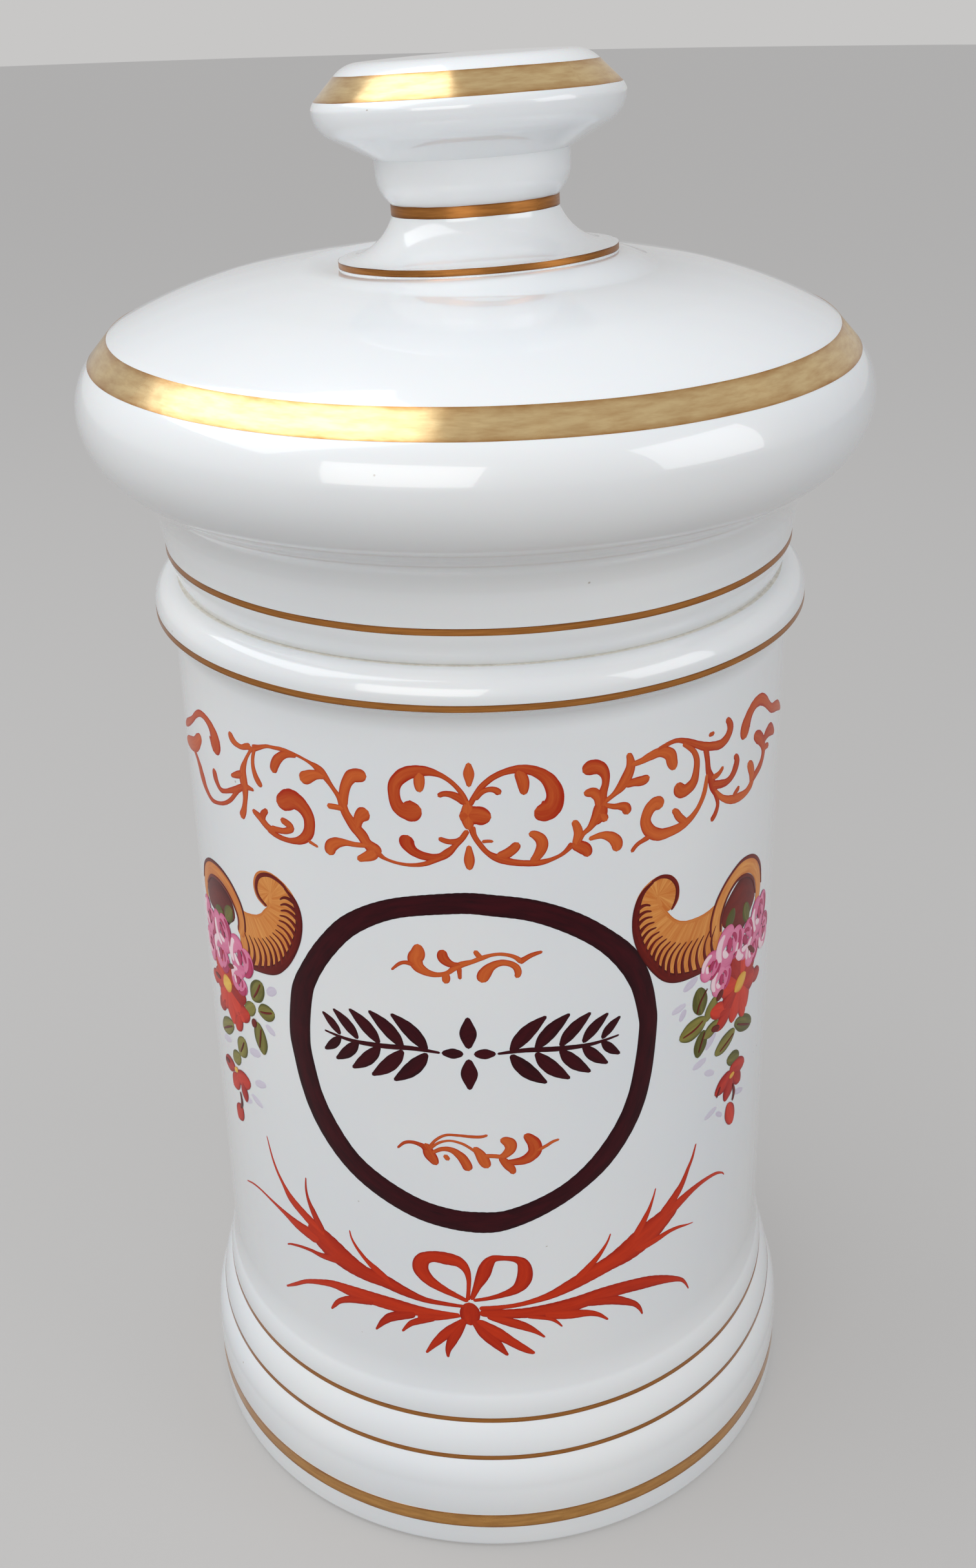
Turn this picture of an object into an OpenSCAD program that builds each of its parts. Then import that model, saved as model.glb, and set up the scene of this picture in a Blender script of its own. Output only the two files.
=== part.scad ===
// Covered porcelain jar for an apothecary's shelf: a straight-sided jar with a stepped foot and a
// rolled collar, and a domed cover that drops into its mouth. The cover's knob was pressed apart and
// luted on a little askew. The gilt lines are thin layers let flush into the glaze.
// The origin is the centre of the foot on the table. +Z is up and the painted front faces -Y.
// Each profile is built up as a chain: every step is measured from the edge before it.

/* [Wall and floor] */
// Height from the table to the seat that carries the cover
jar_h = 190; // [180:1:205]
// Outside radius of the wall where it leaves the foot
wall_low_r = 58.1; // [54:0.1:62]
// How far the wall leans in, from the foot to the collar
wall_lean = 1.3; // [0:0.1:2.5]
// Thickness of the wall
wall_t = 4.5; // [3.5:0.1:5.5]
// Thickness of the floor
floor_t = 6; // [4:0.5:9]
// Radius of the inside corner between wall and floor
floor_fillet = 12; // [6:1:18]

/* [Stepped foot] */
// Height of the plain strip under the lowest gilt band
foot_strip_h = 5.9; // [4:0.1:8]
// Height of the torus, between the lowest band and the middle line
torus_h = 13.2; // [11:0.1:16]
// Height of the middle rib, between the middle and the upper line
rib_h = 6.6; // [5:0.1:9]
// Height over which the upper rib dies into the wall
fade_h = 11.9; // [9:0.1:16]
// How far the upper line stands out from the wall
rib_step = 1.6; // [1:0.1:2.4]
// How far the middle line stands out from the upper one
torus_step = 2.2; // [1.4:0.1:3]
// How far the lowest band stands out from the middle line
foot_step = 2.1; // [1.4:0.1:3]
// How far the torus's upper half swells beyond the line between its two ends
torus_swell = 0.4; // [0.2:0.05:0.7]
// How far the middle rib swells in the same way
rib_swell = 0.4; // [0.1:0.05:0.8]
// Rounding where the foot's side meets the table
foot_edge = 1.4; // [0.8:0.1:2.5]
// Width of the unglazed ring that the jar stands on
rest_w = 5; // [3:0.5:7]
// Depth of the hollow under the foot
recess_h = 12; // [8:0.5:14]

/* [Rolled collar and mouth] */
// How far the collar stands out from the wall, at its gilt line
collar_out = 3; // [2:0.1:4]
// Height of the collar, from the gilt line's lower edge to the seat
collar_h = 6; // [5:0.1:8]
// Height of the hollow moulding that undercuts the collar
cavetto_h = 5.6; // [4:0.1:8]
// How far the mouth stands in from the inside of the wall
mouth_in = 1.8; // [0.5:0.1:3]
// How far the mouth's straight part reaches below the cover's flange
mouth_past = 2; // [1:0.5:4]
// Rounding of the mouth's edge
mouth_lip = 0.8; // [0.4:0.1:1.5]
// Width of the seat, from the mouth out to the cover's edge
seat_w = 4.7; // [4:0.1:5.4]
// How far the collar's rounded top stays outside the cover's edge
collar_show = 0.3; // [0:0.1:0.8]

/* [Cover] */
// Height of the skirt under its gilt line
skirt_low_h = 5.6; // [4:0.1:8]
// How far the skirt spreads over that height
skirt_spread = 1.7; // [1:0.1:2.5]
// Height from the gilt line up to the crease where the skirt turns out
crease_rise = 5.7; // [4:0.1:8]
// How far the skirt spreads over that height
crease_out = 0.9; // [0.4:0.1:1.5]
// Height of the hollow flare above the crease
flare_rise = 7.5; // [6:0.1:9]
// How far the flare reaches out
flare_out = 5.6; // [4.5:0.1:7]
// Height from the flare up to the cover's greatest radius
belly_rise = 11; // [10:0.1:13]
// How far the belly reaches out over that height
belly_out = 6.1; // [5:0.1:7.5]
// Height from there up to the broad gilt band
shoulder_rise = 7.5; // [6.5:0.1:8.5]
// How far the shoulder turns in over that height
shoulder_in = 2.9; // [2.3:0.1:3.5]
// Rise of the broad gilt band
band_rise = 4.1; // [3.4:0.1:5]
// How far the band runs in over that rise
band_run = 3.7; // [3:0.1:4.6]
// Rise of the dome above the band, up to its flat crown
dome_rise = 6.6; // [5.5:0.1:8]
// How far the dome runs in over that rise
dome_run = 17.9; // [14:0.1:22]
// Rise of the crown above its edge
crown_rise = 4.6; // [3.5:0.1:6]
// Thickness of the cover
cover_t = 4.5; // [3.5:0.1:5.5]
// Depth of the flange below the seat
flange_depth = 9; // [6:0.5:12]
// Thickness of the flange
flange_t = 3.8; // [3:0.1:5]
// Play between the flange and the mouth, all round
flange_play = 0.8; // [0.4:0.1:1.5]
// Radius of the kiln vent under the knob
vent_r = 2.2; // [1.5:0.1:4]

/* [Knob] */
// Radius of the knob's neck at its gilt line
neck_r = 14.3; // [13:0.1:16]
// How far the knob's foot spreads from the neck
knob_foot_out = 9.7; // [8:0.1:12]
// Height of the curve from the foot line up to the neck line
waist_rise = 6.6; // [5.5:0.1:8]
// Rise of the cup, from the neck line up to its widest part
cup_rise = 4.6; // [3.8:0.1:5.5]
// How far the cup stands out from the neck
cup_out = 2.2; // [1.6:0.1:3]
// Height of the stem between the cup and the head
stem_rise = 2.6; // [2:0.1:4]
// Rise of the head's underside
head_rise = 3.5; // [2.8:0.1:4.5]
// How far the head's underside reaches out from the cup
head_out = 6.7; // [5.5:0.1:8]
// Height from there up to the head's greatest radius
bulge_rise = 4.7; // [4:0.1:6]
// How far the head reaches out over that height
bulge_out = 3; // [2.4:0.1:4]
// Rise of the gilt band on the head's rim
rim_rise = 3.7; // [3:0.1:4.6]
// How far that band runs in
rim_run = 3.7; // [3:0.1:4.6]
// Rise of the knob's top above the band
top_rise = 2.2; // [1.8:0.1:3]
// Thickness of porcelain left round the hollow in the neck
neck_wall = 5.3; // [4:0.1:7]
// Thickness of porcelain left over that hollow
head_wall = 8.3; // [6:0.1:10]
// Angle by which the knob leans
knob_lean = 3.6; // [0:0.1:5]
// Direction that the knob leans to, turned from +X towards +Y
knob_lean_dir = 136; // [0:1:359]
// How far towards +X the knob was set off the cover's axis
knob_offset = 1.1; // [0:0.1:2]

/* [Gilding] */
// Thickness of the fired gilding and the flux under it
gilt_t = 0.3; // [0.2:0.05:0.5]
// Width of the lowest band on the foot
foot_band_w = 3.5; // [2:0.1:4.5]
// Width of the fine lines on foot, collar and skirt
fine_line_w = 1.2; // [0.8:0.1:1.8]
// Width of the line round the knob's neck
neck_line_w = 1.9; // [1:0.1:2.4]
// Width of the line round the knob's foot
knob_foot_line_w = 1.1; // [0.8:0.1:1.6]

/* [Hidden] */
glaze = "#eef2f6";
gold = "#c8a04a";
round_fn = 96;
vent_fn = 32;
// Number of straight steps in each curved stretch of a profile
arc_steps = 12;
// Sag of a quarter round, as a share of its radius
quarter = 1 - cos(45);
// Small bevels at the cover's lower edge and on the flange
skirt_edge = 0.4;
flange_edge = 1.2;
// Where the torus's crest lies: share of its height, and how far inside the lowest band's radius
torus_crest_share = 0.53;
torus_crest_in = 0.2;
// Where the upper rib starts to fade into the wall: share of its height and of its step
rib_fade_share = 0.44;
rib_fade_out = 0.4;
// Swell of the upper rib below that place, and hollow above it
rib_fade_swell = 0.25;
rib_fade_hollow = 0.15;
// Depth of the hollow moulding under the collar
cavetto_sag = 1;
// Height of the sloped shoulder inside, from the mouth out to the wall
inner_shoulder_h = 5;
// Height of the straight part inside the foot ring, and how far it leans in over that height
foot_wall_h = 5;
foot_wall_lean = 1.5;
// Width of the curve from there to the underside of the floor
recess_cove_w = 9.5;
// Depth below the seat at which the flange's inside starts to curve out to the skirt
flange_cove_h = 1;
// How far the porcelain behind the knob's foot is pared away, so that the foot's edge is seen
foot_clear = 0.3;
// Width of the slip that fills the wedge under the knob's high side
slip_w = 4;
// Height of the knob's foot line above its base
knob_foot_line_z = 0.2;
// Hollow of the curve from the knob's foot to its neck, and swell of the cup above the neck
waist_hollow = 1.9;
cup_swell = 0.55;
// How much wider the cup's stem is under the head than at the cup's widest part
stem_spread = 0.15;
// Swell of the head below its greatest radius
head_swell = 0.8;
// Height from the greatest radius up to the rim's band, how far it turns in there, and its swell
rim_gap = 1.2;
rim_in = 0.6;
rim_swell = 0.06;
// The knob's top: share of its radius that is nearly flat, its fall at the edge of that, and swells
top_flat_share = 0.83;
top_fall = 0.4;
top_edge_swell = 0.35;
top_swell = 0.12;
// How far a cutting tool reaches past the face that it enters
cut = 1;

// Points on an arc from p to just before q. A positive sag bulges to the right of the way from p to q.
function arc(p, q, sag) =
    let (
        chord = norm(q - p),
        along = (q - p) / chord,
        aside = [along[1], -along[0]],
        radius = (chord * chord / 4 + sag * sag) / (2 * sag),
        half = asin(chord / (2 * radius)),
        centre = (p + q) / 2 - aside * (radius - sag)
    )
    [
        for (i = [0 : arc_steps - 1])
            let (t = half * (2 * i / arc_steps - 1))
            centre + radius * (aside * cos(t) + along * sin(t))
    ];

// Sag of an arc from p to q that ends level at q.
function level_sag(p, q) = norm(q - p) / 2 * tan(atan(abs(q[1] - p[1]) / abs(q[0] - p[0])) / 2);

// Inward direction at a gilt line, square to it, scaled to the gilding's thickness.
function depth_of(line) =
    let (along = (line[1] - line[0]) / norm(line[1] - line[0]))
    [-along[1], along[0]] * gilt_t;

// The groove for a gilt line, from its lower edge to just before its upper edge.
function groove(line) = [line[0], line[0] + depth_of(line), line[1] + depth_of(line)];

// An upright line of width w whose lower edge is at the point p.
function band_at(p, w) = [p, p + [0, w]];

// Outline of the jar's outside, from the resting ring up to the seat.
rib_r = wall_low_r + rib_step;
torus_r = rib_r + torus_step;
foot_r = torus_r + foot_step;
foot_band = band_at([foot_r, foot_strip_h], foot_band_w);
torus_line = band_at([torus_r, foot_band[1][1] + torus_h], fine_line_w);
rib_line = band_at([rib_r, torus_line[1][1] + rib_h], fine_line_w);
torus_crest = [foot_r - torus_crest_in, foot_band[1][1] + torus_h * torus_crest_share];
rib_fade = [wall_low_r + rib_step * rib_fade_out, rib_line[1][1] + fade_h * rib_fade_share];
wall_low = [wall_low_r, rib_line[1][1] + fade_h];
wall_top = [wall_low_r - wall_lean, jar_h - collar_h - cavetto_h];
collar_line = band_at([wall_top[0] + collar_out, jar_h - collar_h], fine_line_w);
mouth_r = wall_top[0] - wall_t - mouth_in;
seat_edge = [mouth_r + seat_w + collar_show, jar_h];
jar_outside = concat(
    arc([foot_r - foot_edge, 0], [foot_r, foot_edge], foot_edge * quarter),
    [[foot_r, foot_edge]],
    groove(foot_band),
    arc(foot_band[1], torus_crest, torus_swell / 2),
    arc(torus_crest, torus_line[0], torus_swell),
    groove(torus_line),
    arc(torus_line[1], rib_line[0], rib_swell),
    groove(rib_line),
    arc(rib_line[1], rib_fade, rib_fade_swell),
    arc(rib_fade, wall_low, -rib_fade_hollow),
    [wall_low],
    arc(wall_top, collar_line[0], -cavetto_sag),
    groove(collar_line),
    arc(collar_line[1], seat_edge, level_sag(collar_line[1], seat_edge)),
    [seat_edge]
);

// Outline of the jar's inside, from the seat down to the middle of the floor.
floor_z = recess_h + floor_t;
mouth_low = [mouth_r, jar_h - flange_depth - mouth_past];
inner_top = [wall_top[0] - wall_t, mouth_low[1] - inner_shoulder_h];
inner_low = [wall_low_r - wall_t, floor_z + floor_fillet];
floor_edge = [inner_low[0] - floor_fillet, floor_z];
jar_inside = concat(
    arc([mouth_r + mouth_lip, jar_h], [mouth_r, jar_h - mouth_lip], mouth_lip * quarter),
    [[mouth_r, jar_h - mouth_lip], mouth_low, inner_top],
    arc(inner_low, floor_edge, -floor_fillet * quarter),
    [floor_edge, [0, floor_z]]
);

// Outline of the hollow under the foot, from its middle out to the resting ring.
rest_in = foot_r - foot_edge - rest_w;
foot_wall_top = [rest_in - foot_wall_lean, foot_wall_h];
recess_edge = [foot_wall_top[0] - recess_cove_w, recess_h];
foot_hollow = concat(
    [[0, recess_h]],
    arc(recess_edge, foot_wall_top, -level_sag(recess_edge, foot_wall_top)),
    [foot_wall_top, [rest_in, 0]]
);

module turned(outline) {
    rotate_extrude($fn = round_fn) polygon(outline);
}

// The jar is one thrown piece: floor, wall, stepped foot and rolled collar.
module jar() {
    color(glaze) turned(concat(foot_hollow, jar_outside, jar_inside));
}

// Corners of the cover's outside, from its lower edge up to the middle of the crown.
skirt_low = [mouth_r + seat_w, jar_h];
skirt_line = band_at(skirt_low + [skirt_spread, skirt_low_h], fine_line_w);
crease = skirt_line[1] + [crease_out, crease_rise];
flare = crease + [flare_out, flare_rise];
belly = flare + [belly_out, belly_rise];
band_low = belly + [-shoulder_in, shoulder_rise];
band_top = band_low + [-band_run, band_rise];
crown_edge = band_top + [-dome_run, dome_rise];
crown_top = [0, crown_edge[1] + crown_rise];
cover_band = [band_low, band_top];

// The skin's corners from the crease up: the place, the direction that the outside faces there, and
// the sag of the stretch up to the next corner.
cover_skin = [
    [crease, -14, -0.75],
    [flare, -56, 1.6],
    [belly, 0, 0.75],
    [band_low, 42, 0],
    [band_top, 52, 0.6],
    [crown_edge, 77, 0],
    [crown_top, 90, 0]
];

// A corner of the skin, moved inwards by t.
function skin_at(i, t) =
    let (c = cover_skin[i])
    c[0] - t * [cos(c[1]), sin(c[1])];

// The curved stretch of the skin above corner i. It turns through the same angle at every depth t.
function skin_arc(i, t) =
    let (p = skin_at(i, t), q = skin_at(i + 1, t), full = norm(skin_at(i + 1, 0) - skin_at(i, 0)))
    arc(p, q, cover_skin[i][2] * norm(q - p) / full);

function crown_arc(t) =
    let (p = skin_at(5, t), q = [0, skin_at(6, t)[1]])
    concat(arc(p, q, level_sag(p, q)), [q]);

function skin(t) = concat(
    skin_arc(0, t), skin_arc(1, t), skin_arc(2, t),
    t == 0 ? groove(cover_band) : [skin_at(3, t)],
    skin_arc(4, t), crown_arc(t)
);

function reversed(list) = [for (i = [len(list) - 1 : -1 : 0]) list[i]];

// Outline of the cover, from the flange round the outside and back down the inside.
flange_r = mouth_r - flange_play;
flange_in = [flange_r - flange_t, jar_h - flange_cove_h];
flange_z = jar_h - flange_depth;
cover_edge = concat(
    [[flange_in[0], flange_z]],
    arc([flange_r - flange_edge, flange_z], [flange_r, flange_z + flange_edge], flange_edge * quarter),
    [[flange_r, flange_z + flange_edge], [flange_r, jar_h], skirt_low - [skirt_edge, 0]],
    [skirt_low + [0, skirt_edge]],
    groove(skirt_line),
    [skirt_line[1]]
);
cover_inside = concat(
    reversed(skin(cover_t)),
    arc(skirt_line[1] - [cover_t, 0], flange_in, -flange_cove_h),
    [flange_in]
);

// The knob's outline in its own frame, from the middle of its base round to the middle of its top.
knob_foot_r = neck_r + knob_foot_out;
knob_foot_line = band_at([knob_foot_r, knob_foot_line_z], knob_foot_line_w);
neck_line = band_at([neck_r, knob_foot_line[1][1] + waist_rise], neck_line_w);
cup = neck_line[1] + [cup_out, cup_rise];
head_low = cup + [stem_spread, stem_rise];
head_turn = [cup[0] + head_out, head_low[1] + head_rise];
head_wide = head_turn + [bulge_out, bulge_rise];
rim_low = head_wide + [-rim_in, rim_gap];
rim_band = [rim_low, rim_low + [-rim_run, rim_rise]];
knob_top = [0, rim_band[1][1] + top_rise];
top_edge = [rim_band[1][0] * top_flat_share, knob_top[1] - top_fall];
knob_outside = concat(
    [[0, 0], [knob_foot_r, 0]],
    groove(knob_foot_line),
    arc(knob_foot_line[1], neck_line[0], -waist_hollow),
    groove(neck_line),
    arc(neck_line[1], cup, cup_swell),
    [cup, head_low],
    arc(head_turn, head_wide, head_swell),
    arc(head_wide, rim_low, rim_swell),
    groove(rim_band),
    arc(rim_band[1], top_edge, top_edge_swell),
    arc(top_edge, knob_top, top_swell),
    [knob_top]
);

// Height of the crown's outside above the table at radius r.
crown_round = (crown_edge[0] * crown_edge[0] + crown_rise * crown_rise) / (2 * crown_rise);
function crown_z(r) = crown_top[1] - crown_round + sqrt(crown_round * crown_round - r * r);

// The knob's own frame: its base is level with the crown under the foot's edge, and leans.
module knob_place() {
    translate([knob_offset, 0, crown_z(knob_foot_r)])
        rotate([0, knob_lean, knob_lean_dir])
            children();
}

// The cover is one piece: domed skin, skirt and locating flange. Its crown is pared to the leaning
// base of the knob on the low side, and filled with slip under the knob's foot on the high side.
module lid_cover() {
    color(glaze) difference() {
        union() {
            turned(concat(cover_edge, skin(0), cover_inside));
            knob_place() translate([0, 0, -cover_t / 2])
                cylinder(r1 = knob_foot_r + slip_w / 2, r2 = knob_foot_r, h = cover_t / 2, $fn = round_fn);
        }
        knob_place()
            cylinder(r1 = knob_foot_r + foot_clear, r2 = knob_foot_r + slip_w, h = slip_w, $fn = round_fn);
        translate([0, 0, crown_top[1] - 3 * cover_t])
            cylinder(r = vent_r, h = 4 * cover_t, $fn = vent_fn);
    }
}

// The knob is pressed solid and cored from below with a round-ended tool, so that it fires evenly.
core_r = neck_r - neck_wall;
core_h = knob_top[1] - head_wall;
module lid_knob() {
    color(glaze) knob_place() difference() {
        turned(knob_outside);
        translate([0, 0, -cut]) cylinder(r = core_r, h = core_h - core_r + cut, $fn = round_fn);
        translate([0, 0, core_h - core_r]) sphere(r = core_r, $fn = round_fn);
    }
}

// One layer of gilding: it fills its groove flush with the glaze round it.
module gilt(line) {
    color(gold) turned([line[0], line[1], line[1] + depth_of(line), line[0] + depth_of(line)]);
}

module foot_lower_gilt_band() { gilt(foot_band); }
module foot_middle_gilt_line() { gilt(torus_line); }
module foot_upper_gilt_line() { gilt(rib_line); }
module collar_gilt_line() { gilt(collar_line); }
module skirt_gilt_line() { gilt(skirt_line); }
module cover_gilt_band() { gilt(cover_band); }
module knob_foot_gilt_line() { knob_place() gilt(knob_foot_line); }
module knob_neck_gilt_line() { knob_place() gilt(neck_line); }
module knob_rim_gilt_band() { knob_place() gilt(rim_band); }

jar();
lid_cover();
lid_knob();
foot_lower_gilt_band();
foot_middle_gilt_line();
foot_upper_gilt_line();
collar_gilt_line();
skirt_gilt_line();
cover_gilt_band();
knob_foot_gilt_line();
knob_neck_gilt_line();
knob_rim_gilt_band();
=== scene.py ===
import math
import random

import bmesh
import bpy
from mathutils import Matrix, Vector


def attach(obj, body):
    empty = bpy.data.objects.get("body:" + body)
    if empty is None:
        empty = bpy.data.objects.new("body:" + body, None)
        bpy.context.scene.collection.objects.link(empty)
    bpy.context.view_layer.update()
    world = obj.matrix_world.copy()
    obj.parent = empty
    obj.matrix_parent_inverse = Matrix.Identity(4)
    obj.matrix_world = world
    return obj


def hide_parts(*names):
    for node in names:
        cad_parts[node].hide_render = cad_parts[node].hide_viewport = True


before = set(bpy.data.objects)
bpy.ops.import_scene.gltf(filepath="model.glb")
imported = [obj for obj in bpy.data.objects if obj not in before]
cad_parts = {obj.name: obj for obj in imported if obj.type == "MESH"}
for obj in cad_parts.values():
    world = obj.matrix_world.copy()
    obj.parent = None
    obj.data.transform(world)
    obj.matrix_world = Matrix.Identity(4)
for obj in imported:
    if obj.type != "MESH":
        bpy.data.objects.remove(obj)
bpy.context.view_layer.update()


# ---- The jar ------------------------------------------------------------------------------------
# A straight-sided pot of hard white porcelain with a stepped foot and a rolled collar, made in one
# piece, turned true on the wheel and dipped in clear glaze. Its resting ring and the seat for the
# cover are wiped bare, so that they can't stick in the kiln.

MM = 0.001
TURN_STEPS = 240
RING_STEP = 2.0
ARC_STEPS = 12
SHARP_ANGLE = math.radians(28)

# Radii and heights of the jar in millimetres, as in the CAD source.
JAR_H = 190.0
WALL_LOW = (58.1, 43.5)
WALL_TOP = (56.8, 178.4)
WALL_T = 4.5
FOOT_R = 64.0
FOOT_ROUND = 1.4
FOOT_BAND = ((FOOT_R, 5.9), (FOOT_R, 9.4))
TORUS_CREST = (FOOT_R - 0.2, 16.4)
TORUS_LINE = ((61.9, 22.6), (61.9, 23.8))
RIB_LINE = ((59.7, 30.4), (59.7, 31.6))
RIB_FADE = (58.74, 36.84)
COLLAR_LINE = ((59.8, 184.0), (59.8, 185.2))
SEAT_EDGE = (55.5, JAR_H)
MOUTH_R = 50.5
MOUTH_ROUND = 0.8
MOUTH_LOW = JAR_H - 11
THROAT_TOP = JAR_H - 16
FLOOR_Z = 18.0
FLOOR_ROUND = 12
RECESS_Z = 12.0
REST_OUT, REST_IN = FOOT_R - FOOT_ROUND, FOOT_R - 6.4


def arc(p, q, sag):
    """Points on an arc from p to just before q; a positive sag bulges to the right of the way."""
    p, q = Vector(p), Vector(q)
    chord = (q - p).length
    along = (q - p) / chord
    aside = Vector((along.y, -along.x))
    radius = (chord * chord / 4 + sag * sag) / (2 * sag)
    half = math.asin(chord / (2 * radius))
    centre = (p + q) / 2 - aside * (radius - sag)
    turns = [half * (2 * i / ARC_STEPS - 1) for i in range(ARC_STEPS)]
    return [tuple(centre + radius * (aside * math.cos(t) + along * math.sin(t))) for t in turns]


def level_sag(p, q):
    """Sag of an arc from p to q that ends level at q."""
    run, rise = abs(q[0] - p[0]), abs(q[1] - p[1])
    return math.hypot(run, rise) / 2 * math.tan(math.atan2(rise, run) / 2)


def quarter(p, q, side=1):
    """A quarter round from p to just before q."""
    return arc(p, q, side * (1 - math.cos(math.pi / 4)) * math.dist(p, q) / math.sqrt(2))


def finely(outline, step=RING_STEP):
    """The outline with its long stretches cut up, so that the shading stays true on them."""
    points = []
    for p, q in zip(outline, outline[1:]):
        cuts = max(1, math.ceil(math.dist(p, q) / step))
        points += [tuple(Vector(p).lerp(Vector(q), i / cuts)) for i in range(cuts)]
    return points + [outline[-1]]


def put(name, data):
    """A new object in the scene."""
    made = bpy.data.objects.new(name, data)
    bpy.context.scene.collection.objects.link(made)
    return made


def turned(name, outline, materials, unglazed=None, pare=None):
    """A piece turned from its outline of (radius, height). unglazed() says which faces are bare,
    and pare() may move a finished point."""
    bm = bmesh.new()
    verts = [bm.verts.new((r * MM, 0, z * MM)) for r, z in finely(outline)]
    edges = [bm.edges.new(pair) for pair in zip(verts, verts[1:])]
    bmesh.ops.spin(bm, geom=verts + edges, axis=(0, 0, 1), cent=(0, 0, 0), steps=TURN_STEPS,
                   angle=2 * math.pi, use_merge=True)
    bmesh.ops.remove_doubles(bm, verts=bm.verts, dist=1e-6)
    bmesh.ops.recalc_face_normals(bm, faces=bm.faces)
    for face in bm.faces:
        face.smooth = True
        if unglazed:
            centre = face.calc_center_median() / MM
            face.material_index = int(unglazed(math.hypot(centre.x, centre.y), centre.z))
    if pare:
        for vert in bm.verts:
            vert.co = pare(vert.co)
    mesh = bpy.data.meshes.new(name)
    bm.to_mesh(mesh)
    bm.free()
    mesh.set_sharp_from_angle(angle=SHARP_ANGLE)
    for material in materials:
        mesh.materials.append(material)
    return put(name, mesh)


def wire(tree, socket, value):
    """Gives an input its value, or a link where the value is another node's output."""
    if isinstance(value, bpy.types.NodeSocket):
        tree.links.new(value, socket)
    else:
        socket.default_value = value


def give(tree, made, **values):
    """Gives a node its inputs and its settings by name."""
    for name, value in values.items():
        socket = made.inputs.get(name.replace("_", " "))
        if socket is None:
            setattr(made, name, value)
        else:
            wire(tree, socket, value)


def node(tree, kind, *inputs, **values):
    """A new node, with its inputs in their order, or its inputs and settings by name."""
    made = tree.nodes.new(kind)
    give(tree, made, **values)
    for socket, value in zip(made.inputs, inputs):
        wire(tree, socket, value)
    return made


def maths(tree, operation, *inputs, clamp=False):
    """The result of a sum on numbers and on other nodes' outputs."""
    return node(tree, "ShaderNodeMath", *inputs, operation=operation, use_clamp=clamp).outputs[0]


def plain_material(name):
    """A new material, its tree and its Principled shader."""
    material = bpy.data.materials.new(name)
    material.use_nodes = True
    return material, material.node_tree, material.node_tree.nodes["Principled BSDF"]


def paint(red, green, blue):
    """A colour given as it is seen on a screen, from 0 to 255."""
    seen = [v / 255 for v in (red, green, blue)]
    return tuple(v / 12.92 if v < 0.04045 else ((v + 0.055) / 1.055) ** 2.4 for v in seen) + (1.0,)


def ramp(tree, source, low, high):
    """A colour ramp over a value between two stops of (position, colour)."""
    made = node(tree, "ShaderNodeValToRGB", Fac=source)
    for element, (position, colour) in zip(made.color_ramp.elements, (low, high)):
        element.position, element.color = position, colour
    return made.outputs["Color"]


def noise_on(tree, place, **values):
    """Noise laid in the object's own space, from 0 to 1."""
    return node(tree, "ShaderNodeTexNoise", Vector=place, **values).outputs["Fac"]


def object_place(tree):
    """Where a point lies on the object."""
    return tree.nodes.new("ShaderNodeTexCoord").outputs["Object"]


def number_group(name, inputs, output):
    """A shader group with numbers for its inputs and one number for its output."""
    tree = bpy.data.node_groups.new(name, "ShaderNodeTree")
    for label, value in inputs:
        socket = tree.interface.new_socket(label, in_out="INPUT", socket_type="NodeSocketFloat")
        socket.default_value = value
    tree.interface.new_socket(output, in_out="OUTPUT", socket_type="NodeSocketFloat")
    start, end = tree.nodes.new("NodeGroupInput"), tree.nodes.new("NodeGroupOutput")
    return tree, start.outputs, end.inputs[output]


def surface_waver():
    """Group: the slow waver of a hand-finished surface with a fine ripple over it, as a height."""
    tree, start, end = number_group("surface_waver", (
        ("Slow scale", 28.0), ("Slow height", 0.0005), ("Fine scale", 420.0),
        ("Fine height", 0.0000015)), "Height")
    place = object_place(tree)
    heights = []
    for name in ("Slow", "Fine"):
        noise = noise_on(tree, place, Scale=start[name + " scale"], Detail=1.5, Roughness=0.45)
        heights.append(maths(tree, "MULTIPLY", noise, start[name + " height"]))
    wire(tree, end, maths(tree, "ADD", *heights))
    return tree


WAVER = surface_waver()


def add_waver(tree, shader, **values):
    """Puts the waver under a shader's normal. Its heights are in metres."""
    waver = node(tree, "ShaderNodeGroup", node_tree=WAVER, **values)
    bump = node(tree, "ShaderNodeBump", Strength=1.0, Distance=1.0, Height=waver.outputs["Height"])
    give(tree, shader, Normal=bump.outputs["Normal"])


def glazed_porcelain():
    """Clear glaze over white porcelain, a hair bluer where it is thick, with a few iron specks."""
    material, tree, shader = plain_material("glazed_porcelain")
    place = object_place(tree)
    cloud = noise_on(tree, place, Scale=16.0, Detail=2.0)
    rare = noise_on(tree, place, Scale=90.0, Detail=0.0)
    grains = node(tree, "ShaderNodeTexVoronoi", Vector=place, Scale=210.0, Randomness=1.0)
    near = node(tree, "ShaderNodeMapRange", Value=grains.outputs["Distance"], From_Min=0.03,
                From_Max=0.06, To_Min=0.6, To_Max=0.0)
    some = maths(tree, "GREATER_THAN", rare, 0.67)
    specks = maths(tree, "MULTIPLY", near.outputs["Result"], some)
    body = ramp(tree, cloud, (0.35, paint(228, 231, 234)), (0.68, paint(234, 235, 235)))
    specked = node(tree, "ShaderNodeMix", data_type="RGBA", Factor=specks, A=body,
                   B=paint(146, 126, 104))
    give(tree, shader, Base_Color=specked.outputs["Result"], Roughness=0.25, Coat_Weight=1.0,
         Coat_Roughness=0.04, Subsurface_Weight=0.1, Subsurface_Scale=0.002)
    add_waver(tree, shader)
    return material


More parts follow.
